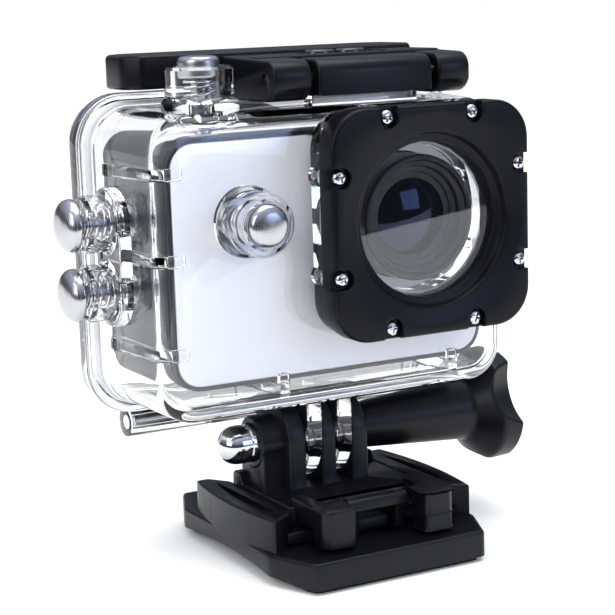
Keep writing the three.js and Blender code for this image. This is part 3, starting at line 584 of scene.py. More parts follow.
# %% Button sizes
side_y = 22.0
BUTTONS = {
    "shutter": dict(axis="z", facing=1, centre=(-34.5, 15.5, SHELL[3]), radius=5.6, height=6.5, bore=3.9,
                    cap=[(3.4, 4.6), (3.4, 7.5), (3.0, 8.05), (1.6, 8.25), (0, 8.3)], reach=4.05),
    "power": dict(axis="y", facing=-1, centre=(-30.6, SHELL_FRONT, 1.8), radius=5.2, height=7.0, bore=3.9,
                  cap=[(3.5, 6.2), (3.5, 7.6), (3.1, 8.3), (2.1, 8.8), (0, 9.0)], reach=2.8),
}
for label, z in (("up", 1.85), ("down", -9.45)):
    BUTTONS[label] = dict(axis="x", facing=-1, centre=(SHELL[0], side_y, z), radius=4.7, height=5.2,
                          bore=3.6,
                          cap=[(4.4, 6.5), (4.4, 7.1), (4.15, 7.9), (3.3, 8.65), (1.9, 9.1), (0, 9.2)],
                          reach=4.5)


def on_button(name, button, profile, **settings):
    """A profile turned about a button's outward axis."""
    return turned(name, button["axis"], button["centre"], profile, button["facing"], **settings)


def collar_pieces(label, button):
    """What a collar adds to the shell, and what is bored out of it."""
    radius, height, bore = button["radius"], button["height"], button["bore"]
    outside = [(0, -1.3), (radius + 0.75, -1.3), (radius + 0.75, 0.7), (radius + 0.5, 1.15),
               (radius + 0.05, 1.6), (radius, 2.2),
               (radius, height - 0.5), (radius - 0.5, height), (0, height)]
    hole = [(0, -3), (2.5, -3), (2.5, -1), (1.6, -1), (1.6, 0.4), (bore, 0.4), (bore, height - 0.3),
            (bore + 0.4, height + 0.1),
            (bore + 0.4, height + 1), (0, height + 1)]
    return (on_button(f"collar_{label}", button, outside, sides=56),
            on_button(f"collar_bore_{label}", button, hole, sides=48))


# %% Join the shell
shell = tray()
collars = [collar_pieces(label, button) for label, button in BUTTONS.items()]
left_pad = prism("left_pad", "x", rounded(16.2, 27.8, -15.3, 7.7, 5.6), SHELL[0] - 1, SHELL[0] + 1.5,
                 (0.45, 0))
latch_seat = box("latch_seat", (-16, 4.3), (11.5, 14.5), (SHELL[3] - 1.6, SHELL[3] + 0.95), 0.2)
knuckles = [rod(f"knuckle_{i}", "x", HINGE, 2.5, a, b, 0.25) for i, (a, b) in enumerate(KNUCKLES)]
combine(shell, "UNION", *boss_pieces(), *[prong(i, *p) for i, p in enumerate(PRONGS)], *knuckles, left_pad,
        latch_seat, *[adds for adds, _ in collars], *rib_pieces())
lens_bore = turned("lens_bore", "y", (0, 0, 0),
                   [(0, 0), (14.4, 0), (14.4, 5.7), (12.4, 5.7), (12.4, 11), (0, 11)], sides=96)
pin_hole = rod("pin_hole", "x", HINGE, 1.15, -43.5, 20)
door_room = rod("door_room", "x", HINGE, 2.8, -28.9, -1.1)
bolt_hole = rod("bolt_hole", "x", TILT, 2.7, -25, -5)
screw_holes = [rod(f"screw_hole_{i}", "y", (x, 0, z), 1.0, 0, 7.7, sides=16) for i,
               (x, z) in enumerate(SCREWS)]
combine(shell, "DIFFERENCE", lens_bore, pin_hole, door_room, bolt_hole, *screw_holes,
        *[bore for _, bore in collars])
finish(shell, CLEAR_CASE, "front_shell", sharp=40)
print("clear shell:", len(shell.data.polygons), "faces")

# %% Plungers and springs


def coil(name, button, inner, outer, start, end, turns):
    """A round wire wound about the button's axis. The wire's section is a circle that is carried
    along a helix, and the first and last turns lie flat, as on a ground spring."""
    wire = 0.32
    mean = (inner + outer) / 2
    t = np.linspace(0, 1, int(turns * 28))
    flatten = np.clip((t * turns - 0.75) / (turns - 1.5), 0, 1)
    climb = start + wire + (end - start - 2 * wire) * flatten
    angle = 2 * np.pi * turns * t
    section = np.linspace(0, 2 * np.pi, 10, endpoint=False)
    radius = mean + wire * np.cos(section)[None, :]
    height = climb[:, None] + wire * np.sin(section)[None, :]
    a, b, h = radius * np.cos(angle)[:, None], radius * np.sin(angle)[:, None], button["facing"] * height
    order = {"x": (h, a, b), "y": (a, h, b), "z": (a, b, h)}[button["axis"]]
    return solid(name, np.stack(order, -1) + np.asarray(button["centre"]))


for label, button in BUTTONS.items():
    underside = button["cap"][0][1]
    stem = [(0, -button["reach"]), (1.2, -button["reach"]), (1.4, -button["reach"] + 0.2), (1.4, underside)]
    profile = np.concatenate([stem, soften([(1.4, underside), *button["cap"]], 0.5, 5, closed=False)])
    steel = lathe_rings(f"faced_steel_{label}", (0.48, 0.48, 0.5), button["centre"], button["axis"])
    finish(on_button(f"{label}_cap", button, profile, sides=80), steel, f"{label}_plunger")
    spring = coil(f"{label}_coil", button, 1.75, 2.95, 0.55, underside - 0.15, 5 if underside > 5 else 4)
    finish(spring, SPRING_STEEL, f"{label}_spring", sharp=80)

# %% [markdown]
# ## The lens port
#
# The bezel is a black square with a round opening, held by eight small screws that sit in notches
# open to the edge. Its front is a stack of loops that changes from a rounded square at the outside
# to a circle at the opening: point by point, each loop is a weighted mean of the two outlines.

# %% The bezel
BEZEL_HALF, BEZEL_RADIUS, BEZEL_DEPTH = 19.1, 6.6, 4.5


def square_to_circle(square_inset, radius, share):
    """A loop between the bezel's rounded square (share 0) and a circle (share 1). At each angle the
    square's reach is half / max(|cos|, |sin|) on a side, and in a corner it is where the spoke meets
    the corner's circle: the larger root of a quadratic."""
    angle = np.linspace(0, 2 * np.pi, 192, endpoint=False)
    spoke = np.stack([np.cos(angle), np.sin(angle)], 1)
    half, corner = BEZEL_HALF - square_inset, BEZEL_RADIUS - square_inset
    straight = half / np.abs(spoke).max(1)
    middle = half - corner
    along = middle * np.abs(spoke).sum(1)
    across = np.maximum(corner**2 - 2 * middle**2 + along**2, 0)
    in_corner = (np.abs(spoke) * straight[:, None]).min(1) > middle
    reach = np.where(in_corner, along + np.sqrt(across), straight)
    return ((1 - share) * reach + share * radius)[:, None] * spoke


def bezel_body():
    """Outside wall, rounded front edge, shallow round dish, sloping throat, glass seat and back."""
    edge = 0.75
    rows = [(square_to_circle(i, 1, 0), h) for i, h in quarter(edge, edge, edge, 180, 270, 6)]
    rows = [(square_to_circle(0.2, 1, 0), BEZEL_DEPTH), (square_to_circle(0, 1, 0), BEZEL_DEPTH - 0.2),
            *rows]
    rows += [(square_to_circle(0, 17.5, 1), 0), (square_to_circle(0, 17.2, 1), 0.12),
             (square_to_circle(0, 14.95, 1), 0.16)]
    throat = soften([(14.95, 0.16), (14.5, 0.35), (14.2, 1.75), (13.0, 1.95), (13.0, 2.8)], 0.25, 4,
                    closed=False)
    rows += [(square_to_circle(0, r, 1), h) for r, h in throat[1:]]
    rows += [(square_to_circle(0, 14.4, 1), 2.8), (square_to_circle(0, 14.4, 1), BEZEL_DEPTH)]
    return solid("bezel_frame", [stand(o, h, "y") for o, h in rows], ring=True)


def notch(index, x, z):
    """A round-ended slot that runs out through the bezel's nearest edge."""
    width, out = 1.72, 5.0
    turn = np.radians(np.linspace(90, 270, 17))
    slot_end = np.stack([width * np.cos(turn), width * np.sin(turn)], 1)
    slot_shape = np.concatenate([slot_end, [(out, -width), (out, width)]])
    angle = math.atan2(z, 0) if abs(z) > abs(x) else math.atan2(0, x)
    c, s = math.cos(angle), math.sin(angle)
    placed = slot_shape @ np.array([[c, s], [-s, c]]) + (x, z)
    return prism(f"notch_{index}", "y", placed, -1, 1.6, 0)


bezel = bezel_body()
cutters = [notch(i, x, z) for i, (x, z) in enumerate(SCREWS)]
cutters += [rod(f"shank_{i}", "y", (x, 0, z), 1.0, 0, 6, sides=20) for i, (x, z) in enumerate(SCREWS)]
combine(bezel, "DIFFERENCE", *cutters)
finish(bezel, BLACK_BEZEL, "lens_bezel", sharp=30, bevel=0.12)

glass = turned("port_window", "y", (0, 0, 0),
               [(0, 3.0), (14.1, 3.0), (14.2, 3.1), (14.2, 4.5), (14.1, 4.6), (0, 4.6)], sides=96)
finish(glass, PORT_GLASS, "port_glass", sharp=40)

# %% The screws


def screw(index, x, z):
    """A domed head with a cross recess. Each cross is turned by its own amount, as when driven home."""
    head = [(0, 0.36), (0.5, 0.38), (0.95, 0.5), (1.2, 0.75), (1.25, 1.0), (1.25, 1.5), (0.9, 1.5),
            (0.9, 7.4), (0, 7.4)]
    piece = turned(f"screw_{index}", "y", (x, 0, z), head, sides=32)
    blades = []
    for blade in (0, 90):
        angle = math.radians(blade + 37 * index)
        along, across = np.array([math.cos(angle), math.sin(angle)]), np.array([-math.sin(angle),
            math.cos(angle)])
        half, width = 0.78, 0.17
        corners = [(x, z) + a * half * along + b * width * across for a,
                   b in ((-1, -1), (1, -1), (1, 1), (-1, 1))]
        blades.append(prism(f"blade_{index}_{blade}", "y", np.array(corners), 0, 1.05, 0))
    combine(piece, "DIFFERENCE", *blades)
    return finish(piece, CHROME, f"bezel_screw_{index + 1}", sharp=35)


for index, (x, z) in enumerate(SCREWS):
    nearest = min(range(1, 9), key=lambda n: np.hypot(*(sum(span(f"bezel_screw_{n}"))[[0, 2]] / 2 - (x,
        z))))
    screw(nearest - 1, x, z)

# %% [markdown]
# ## The latch
#
# The lever is a wide bar behind and two arms in front that turn on a steel pin. A fixed block fills
# the space between the arms, so from above you see two narrow grooves. Everything is a side view
# carried across the case, so the round nose and the soft top edge come from the outline itself.

# %% Latch sizes
LATCH_AXIS = np.array([0, 11.0, 24.0])
LATCH_FRONT, NOSE = 7.6, 3.7
block_low, block_high = span("latch_hinge_block")
lever_low, lever_high = span("latch_lever")
lock_low, lock_high = span("latch_lock")
BAR_FRONT, BAR_BOTTOM, DECK_TOP = 26.0, 22.6, 27.5


def nose_arc(start, end, steps=20):
    """Points of the nose's circle about the latch pin, from one angle to another in degrees."""
    turn = np.radians(np.linspace(start, end, steps))
    return np.stack([LATCH_AXIS[1] + NOSE * np.cos(turn), LATCH_AXIS[2] + NOSE * np.sin(turn)], 1)


def crown():
    """The soft front top edge of the arms and the block, as a quarter circle."""
    radius = 2.6
    turn = np.radians(np.linspace(90, 180, 10))
    return np.stack([LATCH_FRONT + radius + radius * np.cos(turn),
                     LATCH_AXIS[2] + 0.4 + radius * np.sin(turn)], 1)


def latch_arm(index, left, right):
    """One arm: nose, straight underside, and a top that rises gently to the bar."""
    lower = 180 + math.degrees(math.acos((LATCH_AXIS[1] - LATCH_FRONT) / NOSE))
    back = [(BAR_FRONT + 1, LATCH_AXIS[2] - NOSE), (BAR_FRONT + 1, DECK_TOP)]
    side = np.concatenate([nose_arc(lower, 270), back, crown()])
    return prism(f"latch_arm_{index}", "x", side, left, right, 0.45)


# %% Lever, block, lock and pin
bar_plan = [(lever_low[0], BAR_FRONT + 3), (lever_low[0] + 2.6, BAR_FRONT), (lever_high[0], BAR_FRONT),
            (lever_high[0], lever_high[1] - 3), (lever_high[0] - 3, lever_high[1]),
            (lever_low[0] + 3, lever_high[1]),
            (lever_low[0], lever_high[1] - 3)]
lever = prism("latch_lever_body", "z", soften(bar_plan, 0.9), BAR_BOTTOM, lever_high[2], (0.6, 0.8), 4)
arm_ends = ((-25.0, block_low[0] - 1.3), (block_high[0] + 1.3, lever_high[0]))
deck = box("latch_deck", (-24, 11.5), (15.5, 27), (BAR_BOTTOM, DECK_TOP), 0.4)
combine(lever, "UNION", deck, *[latch_arm(i, *ends) for i, ends in enumerate(arm_ends)])
recess = prism("recess", "z", rounded(lock_low[0] - 0.35, lock_high[0] + 3.35, lock_low[1] - 0.35,
                                      lock_high[1] + 0.35, 3.2),
               26.2, 40, 0)
lever_hole = rod("lever_hole", "x", LATCH_AXIS, 1.0, -40, 40)
combine(lever, "DIFFERENCE", recess, lever_hole)
finish(lever, BLACK_LATCH, "latch_lever", bevel=0.2)

back_arc = np.radians(np.linspace(0, 45.6, 8))
hinge_back = np.stack([LATCH_AXIS[1] + 4.2 * np.cos(back_arc), LATCH_AXIS[2] + 4.2 * np.sin(back_arc)], 1)
block_side = np.concatenate([[(LATCH_FRONT, 21), (LATCH_AXIS[1] + 4.2, 21)], hinge_back, crown()])
hinge_block = prism("latch_block", "x", block_side, block_low[0], block_high[0], 0.45)
combine(hinge_block, "DIFFERENCE", rod("block_hole", "x", LATCH_AXIS, 1.0, -40, 40))
finish(hinge_block, BLACK_LATCH, "latch_hinge_block")

lock = prism("latch_slide", "z", rounded(lock_low[0], lock_high[0], lock_low[1], lock_high[1], 2.9),
             lock_low[2],
             DECK_TOP - 0.25, 0.2)
lock_middle = (lock_low[1] + lock_high[1]) / 2
pads = [prism(f"lock_pad_{i}", "z", circle(0, 0, 1, 48) * (2.6, 2.15) + (x, lock_middle),
              lock_low[2] + 0.4, lock_high[2],
              (0.1, 0.45), 5) for i, x in enumerate((lock_low[0] + 3.5, lock_high[0] - 3.5))]
combine(lock, "UNION", *pads)
GLOSS_BLACK = surface("glossy_black_slide", (0.012, 0.012, 0.015), 0.12, Coat_Weight=0.6,
                      Coat_Roughness=0.05)
finish(lock, GLOSS_BLACK, "latch_lock")

# %% Pins
for label in ("latch_pin", "door_hinge_pin"):
    low, high = span(label)
    radius = (high[1] - low[1]) / 2
    centre = (low + high) / 2
    pin = prism(f"{label}_rod", "x", circle(centre[1], centre[2], radius, 32), low[0], high[0], 0.3, 4)
    finish(pin, PIN_STEEL, label, sharp=45)

# %% [markdown]
# ## The back door
#
# The door is a shallow clear cup that closes against the flange. Its rim has a groove for the
# silicone seal. Outside, rim, groove and inside are again one stack of loops.

# %% Door and seal
DOOR = (SHELL[0] - 1.0, SHELL[1] + 1.0, SHELL[2] - 1.0, SHELL[3] + 1.2)
DOOR_FRONT, DOOR_BACK, DOOR_RADIUS, DOOR_RIM = 31.6, 37.5, 7.5, 3.0
DOOR_KNUCKLE = (-28.6, -1.4)


def door_skin():
    inside = [(DOOR_RIM + 1, DOOR_BACK - 2), (DOOR_RIM + 0.3, DOOR_BACK - 2.3), (DOOR_RIM, DOOR_BACK - 3)]
    rim = [(DOOR_RIM, DOOR_FRONT + 0.2), (DOOR_RIM - 0.2, DOOR_FRONT), (2.4, DOOR_FRONT),
           (2.4, DOOR_FRONT + 2),
           (0.6, DOOR_FRONT + 2), (0.6, DOOR_FRONT), (0.3, DOOR_FRONT), (0, DOOR_FRONT + 0.3)]
    outside = quarter(1.6, DOOR_BACK - 1.6, 1.6, 180, 90)
    rows = np.concatenate([inside, rim, outside])
    return solid("clear_back_door", [stand(inset_box(DOOR, DOOR_RADIUS, i), h, "y") for i, h in rows])


door = door_skin()
web = box("door_web", DOOR_KNUCKLE, (DOOR_FRONT + 0.1, 34.6), (HINGE[2], DOOR[2] + 0.6), 0.2)
catch = box("door_catch", (-28, 2), (34.6, 36), (DOOR[3] - 1, FLANGE[3]), 0.25)
combine(door, "UNION", rod("door_knuckle", "x", HINGE, 2.5, *DOOR_KNUCKLE, 0.25), web, catch)
combine(door, "DIFFERENCE", rod("door_pin_hole", "x", HINGE, 1.15, -40, 10))
finish(door, CLEAR_CASE, "back_door", sharp=40)

gasket_loops = [(1.5 + 0.7 * math.cos(a), 32.35 + 0.95 * math.sin(a)) for a in np.linspace(0, 2 * np.pi,
    14, endpoint=False)]
gasket = solid("door_seal", [stand(inset_box(DOOR, DOOR_RADIUS, i), h, "y") for i, h in gasket_loops],
               ring=True)
finish(gasket, SILICONE, "door_gasket", sharp=60)

# %% [markdown]
# ## The thumb screw
#
# The neck is a plain cone. The grip has three lobes with a hollow for a fingertip between each
# pair. Its surface is a radius that depends on the angle and on the distance along the axis: the
# smaller of a turned profile and the distance to a finger-sized cylinder, blended where they meet.
# The cylinders lean inwards towards the end, so each hollow starts as a round scoop.

# %% The knob
knob_high = span("thumb_screw_knob")[1]
NECK_END, SHOULDER, LOBE, SCALLOP_FIRST = 14.8, 18.7, 9.9, 36


def knob_body():
    """radius(angle, x) is a smooth minimum of the turned profile and the three scallops."""
    tip, finger, blend = knob_high[0], 8.4, 0.35
    profile = soften([(-7.8, 0), (-7.8, 3.9), (NECK_END, 5.6), (SHOULDER, LOBE), (tip - 0.1, LOBE),
                      (tip, LOBE - 0.6), (tip, 0)],
                     0.7, 7, closed=False)
    bands = [np.linspace(*ends, count) for ends, count in
             (((NECK_END + 0.8, SHOULDER - 0.8), 12), ((SHOULDER + 0.8, tip - 0.9), 8),
              ((0.5, LOBE - 1.3), 10))]
    x, radius = profile[:, 0], profile[:, 1]
    slope = np.interp(bands[0], [NECK_END, SHOULDER], [5.6, LOBE])
    split = [np.searchsorted(x[:-8], b[0]) for b in bands[:2]]
    x = np.concatenate([x[: split[0]], bands[0], x[split[0] : split[1]], bands[1], x[split[1] : -1],
                        np.full(10, tip), [tip]])
    radius = np.concatenate([radius[: split[0]], slope, radius[split[0] : split[1]], np.full(8, LOBE),
                             radius[split[1] : -1], bands[2][::-1], [0]])
    angle = np.linspace(0, 2 * np.pi, 240, endpoint=False)
    away = 18.6 - 4.4 * np.clip((x - NECK_END) / (tip - NECK_END), 0, 1) ** 0.8
    scallops = np.full((len(x), len(angle)), 40.0)
    for middle in np.radians(SCALLOP_FIRST + np.array([0, 120, 240])):
        swing = angle[None, :] - middle
        inside = finger**2 - (away[:, None] * np.sin(swing)) ** 2
        hit = (inside > 0) & (np.cos(swing) > 0)
        near = away[:, None] * np.cos(swing) - np.sqrt(np.maximum(inside, 0))
        scallops = np.where(hit, np.minimum(scallops, near), scallops)
    scallops = np.where(x[:, None] < NECK_END, 40.0, scallops)
    gap = np.clip(0.5 + 0.5 * (scallops - radius[:, None]) / blend, 0, 1)
    smooth = scallops * (1 - gap) + radius[:, None] * gap - blend * gap * (1 - gap)
    smooth = np.minimum(radius[:, None], smooth)
    points = np.stack([np.broadcast_to(x[:, None], smooth.shape), TILT[1] + smooth * np.cos(angle),
                       TILT[2] + smooth * np.sin(angle)], -1)
    return solid("thumb_screw_grip", points)


bolt_low, bolt_high = span("thumb_screw_bolt")
knob = knob_body()
combine(knob, "DIFFERENCE", rod("screw_socket", "x", TILT, 2.6, -10, bolt_high[0] + 0.3))
finish(knob, BLACK_NYLON, "thumb_screw_knob", sharp=50)

bolt = prism("clamp_bolt", "x", circle(*TILT[1:], 2.5, 48), bolt_low[0], bolt_high[0], 0.4, 3)
finish(bolt, PIN_STEEL, "thumb_screw_bolt")

dome_turn = np.radians(np.linspace(0, 90, 12))
nut_dome = np.stack([3.3 * np.sin(dome_turn), -30.0 - 3.3 * np.cos(dome_turn)], 1)
nut_profile = [*nut_dome, (3.3, -28.9), (3.05, -28.7), (3.05, -28.3), (3.3, -28.1), (3.3, -25.7),
               (2.6, -25.7), (2.6, -31.4),
               (0, -31.4)]
finish(turned("acorn_nut_dome", "x", TILT, nut_profile, sides=72), CHROME, "acorn_nut", sharp=40)

# %% [markdown]
# ## The quick-release buckle
#
# Three ears take the case's prongs between them. The left ear carries a round boss for the nut.
# The deck runs out into two springy arms with finger pads, and a low bar lies between them. Each
# of these is an outline carried along one axis, and one boolean joins them.

# %% Buckle sizes
base_low, base_high = span("base_mount")
MIDDLE_X = (base_low[0] + base_high[0]) / 2
EARS = ((-23.2, -20.1), (-16.9, -14.3), (-11.1, -8.1))
EAR_RADIUS, DECK_HALF, TONGUE_HALF = 6.6, 13.2, 15.3
MOUNT_TOP, TONGUE_TOP, TONGUE_BOTTOM, DECK_BACK = -44.5, -47.8, -49.8, 21.5


def ear(index, left, right):
    """A half circle about the tilt axis, with straight sides that flare into the deck behind."""
    turn = np.radians(np.linspace(0, 180, 25))
    arc = np.stack([TILT[1] + EAR_RADIUS * np.cos(turn), TILT[2] + EAR_RADIUS * np.sin(turn)], 1)
    foot = [(TILT[1] - EAR_RADIUS, MOUNT_TOP - 0.5), (DECK_BACK, MOUNT_TOP - 0.5)]
    behind = soften([foot[1], (DECK_BACK, TILT[2] - 4.5), tuple(arc[0])], 1.5, 5, closed=False)
    return prism(f"ear_{index}", "x", np.concatenate([arc, foot[:1], behind[:-1]]), left, right, 0.3)


def arm(side):
    """A curved arm in plan, with a deeper finger pad at its front end."""
    plan = np.array([(9.2, 3), (9.5, -1.2), (8.6, -4.3), (6.5, -5.2), (6.4, -9.4), (11.2, -9.4),
                     (12.2, -8.2), (12.2, 3)])
    pad_plan = np.array([(6.4, -4.6), (6.4, -9.4), (11.2, -9.4), (12.2, -8.2), (12.2, -4.6)])
    pieces = []
    for name, shape, bottom, top, cut in (("arm", plan, -46.8, -43.1, 1.6),
                                          ("pad", pad_plan, -49.4, -42.9, 1.0)):
        outline = soften(shape * (side, 1) + (MIDDLE_X, 0), cut, 6)
        pieces.append(prism(f"{name}_{side}", "z", outline[::-1], bottom, top, (0.3, 0.55), 4))
    return pieces


def buckle_pieces():
    x = MIDDLE_X
    tongue = box("tongue", (x - TONGUE_HALF, x + TONGUE_HALF), (-2, DECK_BACK),
                 (TONGUE_BOTTOM, TONGUE_TOP), 0.3)
    step = prism("rear_step", "x", soften([(17.5, -45.5), (DECK_BACK, -45.5), (DECK_BACK, -43.2),
                                           (20.8, -42.6), (19, -42.6)], 0.3),
                 x - DECK_HALF, x + DECK_HALF, 0.3)
    tab = prism("tab_bar", "x", soften([(-5.6, -45.4), (-2.6, -45.4), (-2.6, -44.3), (-3.1, -43.2),
                                        (-4.9, -43.2), (-5.6, -44.2)], 0.5),
                x - 5.6, x + 5.6, 0.35)
    legs = [box(f"tab_leg_{i}", (x + s - 0.9, x + s + 0.9), (-4.6, 2), (-49.4, -44.6), 0.3) for i,
            s in enumerate((-4.3, 4.3))]
    boss = rod("nut_boss", "x", TILT, 4.5, -27.2, -22.5, 0.5)
    boss_foot = prism("boss_foot", "x", [(12.2, -45), (20.8, -45), (20.8, TILT[2]), (12.2, TILT[2])],
                      -27.0, -22.5, 0.4)
    return [tongue, step, tab, *legs, *arm(-1), *arm(1), *[ear(i, *e) for i, e in enumerate(EARS)], boss,
            boss_foot]


# %% Join the buckle
buckle = box("buckle_body", (MIDDLE_X - DECK_HALF, MIDDLE_X + DECK_HALF), (1, DECK_BACK),
             (TONGUE_BOTTOM, MOUNT_TOP), 0.4)
combine(buckle, "UNION", *buckle_pieces())
prong_slots = [rod(f"prong_slot_{i}", "x", TILT, 7.35, a - 0.2, b + 0.2, sides=72) for i,
               (a, b) in enumerate(PRONGS)]
combine(buckle, "DIFFERENCE", *prong_slots, rod("clamp_hole", "x", TILT, 2.7, -40, 0),
        rod("nut_pocket", "x", TILT, 3.4, -30, -25.5))
finish(buckle, BLACK_NYLON, "quick_release_buckle", bevel=0.18)

# %% [markdown]
# ## The adhesive mount
#
# The mount is a plate with its corners cut off and its underside hollowed by a wide cylinder, so
# that it beds on a curved helmet. Two crescent rails hold the buckle. A crescent is two quadratic
# curves, and the slot in its top follows the outer one.

# %% Mount sizes
RAIL_FRONT, RAIL_BACK, RAIL_INNER, CHANNEL_HALF = -4.0, 25.0, 13.6, 15.6
NOSE_HALF, CORNER = 15.8, 8.8
PLATE_TOP, PLATE_BOTTOM, ARCH = -50.0, -54.4, 130.0


def plan_outline(inset):
    """The plate's plan, drawn in by an inset."""
    front, back = base_low[1] + inset, base_high[1] - inset
    nose, wide = NOSE_HALF - inset * 0.6, 19.6 - inset
    corners = [(-nose, front), (nose, front), (wide, front + CORNER), (wide, back - CORNER), (nose, back),
               (-nose, back),
               (-wide, back - CORNER), (-wide, front + CORNER)]
    return soften(np.array(corners) + (MIDDLE_X, 0), 0.9, 5)


def bow(start, control, end, steps=26):
    """A quadratic curve from start to end, pulled towards a control point."""
    t = np.linspace(0, 1, steps)[:, None]
    start, control, end = (np.array(p, float) for p in (start, control, end))
    return (1 - t) ** 2 * start + 2 * t * (1 - t) * control + t**2 * end


def rail(side):
    """One crescent rail with the slot in its top."""
    centre_y = (RAIL_FRONT + RAIL_BACK) / 2
    outer = bow((18.4, RAIL_FRONT), (21.2, centre_y), (18.4, RAIL_BACK))
    inner = soften([(18.4, RAIL_BACK), (16.2, RAIL_BACK), (RAIL_INNER, RAIL_BACK - 4),
                    (RAIL_INNER, RAIL_FRONT + 3), (18.4, RAIL_FRONT)],
                   0.8, 5, closed=False)
    crescent = np.concatenate([outer[:-1], inner[:-1]]) * (side, 1) + (MIDDLE_X, 0)
    slot = np.concatenate([bow((16.2, RAIL_FRONT + 4), (19, centre_y), (16.2, RAIL_BACK - 3))[:-1],
                           bow((16.2, RAIL_BACK - 3), (15.8, centre_y),
                               (16.2, RAIL_FRONT + 4))[:-1]]) * (side, 1) + (MIDDLE_X, 0)
    if side < 0:
        crescent, slot = crescent[::-1], slot[::-1]
    return (prism(f"rail_{side}", "z", crescent, PLATE_TOP - 1, MOUNT_TOP, (0, 0.5), 4),
            prism(f"rail_slot_{side}", "z", slot, MOUNT_TOP - 2.5, MOUNT_TOP + 1, 0))


def arch(bottom):
    """The wide cylinder under the mount. It leaves a flat land at the front and at the rear."""
    middle_y = (base_low[1] + base_high[1]) / 2
    reach = (base_high[1] - base_low[1]) / 2 - 3
    drop = math.sqrt(ARCH**2 - reach**2)
    return prism(f"arch_{abs(bottom):.2f}", "x", circle(middle_y, bottom - drop, ARCH, 720),
                 MIDDLE_X - 40, MIDDLE_X + 40, 0)


# %% The mount and its adhesive pad
mount = prism("mount_plate", "z", plan_outline(0), PLATE_BOTTOM, PLATE_TOP, (0.15, 0.6), 4)
rails = [rail(-1), rail(1)]
combine(mount, "UNION", *[body for body, _ in rails])
channel = box("channel", (MIDDLE_X - CHANNEL_HALF, MIDDLE_X + CHANNEL_HALF),
              (base_low[1] - 1, DECK_BACK + 0.3), (PLATE_TOP, -47.5), 0)
combine(mount, "DIFFERENCE", channel, *[slot for _, slot in rails], arch(PLATE_BOTTOM))
stop = box("stop", (MIDDLE_X - CHANNEL_HALF - 1, MIDDLE_X + CHANNEL_HALF + 1),
           (DECK_BACK + 0.3, RAIL_BACK - 0.5), (PLATE_TOP - 0.5, -46.5), 0.3)
key = box("key", (MIDDLE_X - 2, MIDDLE_X + 2), (base_high[1] - 4, base_high[1] - 1),
          (PLATE_TOP - 1, PLATE_TOP + 0.6), 0.2)
combine(mount, "UNION", stop, key)
finish(mount, BLACK_NYLON, "base_mount", bevel=0.15)

pad_low = span("adhesive_pad")[0]
pad = prism("adhesive_foam", "z", plan_outline(1.2), pad_low[2], PLATE_TOP - 1, 0)
top_room = box("pad_room", (-70, 40), (-40, 70), (PLATE_BOTTOM - 0.03, PLATE_TOP + 5), 0)
combine(top_room, "DIFFERENCE", arch(PLATE_BOTTOM - 0.03))
combine(pad, "DIFFERENCE", top_room, arch(pad_low[2]))
finish(pad, FOAM_TAPE, "adhesive_pad", sharp=40)

# %% [markdown]
# ## Parts that keep their frame shape
#
# Seals, clips, the board and the other inner parts are already right as plain shapes. They only
# need their finish.

# %% Finishes for the carried-over parts
CARRIED = {
    PIN_STEEL: [f"camera_{label}_button" for label in BUTTONS] + [f"{label}_clip" for label in BUTTONS],
    RUBBER: [f"{label}_seal" for label in BUTTONS] + ["port_gasket"],
    BOARD: ["main_board"],
    CELL: ["battery"],
    DARK_GREY: ["battery_door"],
    LENS_BLACK: ["memory_card", "image_sensor"],
    LENS_GLASS: ["lens_rear_element"],
}
for material, names in CARRIED.items():
    for name in names:
        carried = frame["nodes"][name]
        carried.data.materials.clear()
        carried.data.materials.append(material)

# %% [markdown]
# ## Floor, light and camera
#
# Clear plastic looks like whatever is round it, so it is lit as a glass is in a studio: a white
# surround, seen through the case, and soft boxes above and beside. The floor ends in front of the
# object, and the flat port window mirrors that edge as a change from dark to light.
#
# The surround has two rules that a real room doesn't. Rays that are only mirrored see a dimmer room
# that brightens with height, so that black plastic stays black. Rays that have been mirrored inside
# clear plastic and leave towards the front see a dark room, so that the window isn't veiled.

# %% The floor
VIEW_YAW, VIEW_PITCH, VIEW_ROLL = 28.561, 10.11, -1.842
CAMERA_AT = (-0.1395, -0.25666, 0.09285)
LENS_MM = 103.52
yaw, pitch, roll = (math.radians(v) for v in (VIEW_YAW, VIEW_PITCH, VIEW_ROLL))
towards = np.array([math.sin(yaw), math.cos(yaw)])
sideways = np.array([math.cos(yaw), -math.sin(yaw)])
near, far, half_width = -0.205, 30.0, 20.0
corners = [towards * a + sideways * b for a,
           b in ((near, -half_width), (near, half_width), (far, half_width), (far, -half_width))]
floor_mesh = bpy.data.meshes.new("floor")
floor_mesh.from_pydata([(x, y, 0) for x, y in corners], [], [(0, 1, 2, 3)])
floor = bpy.data.objects.new("floor", floor_mesh)
bpy.context.scene.collection.objects.link(floor)
floor_paint = surface("pale_paper", (0.93, 0.93, 0.935), 0.9)
roughen(floor_paint, speckle(floor_paint, 60.0), 0.85, 0.95)
floor.data.materials.append(floor_paint)

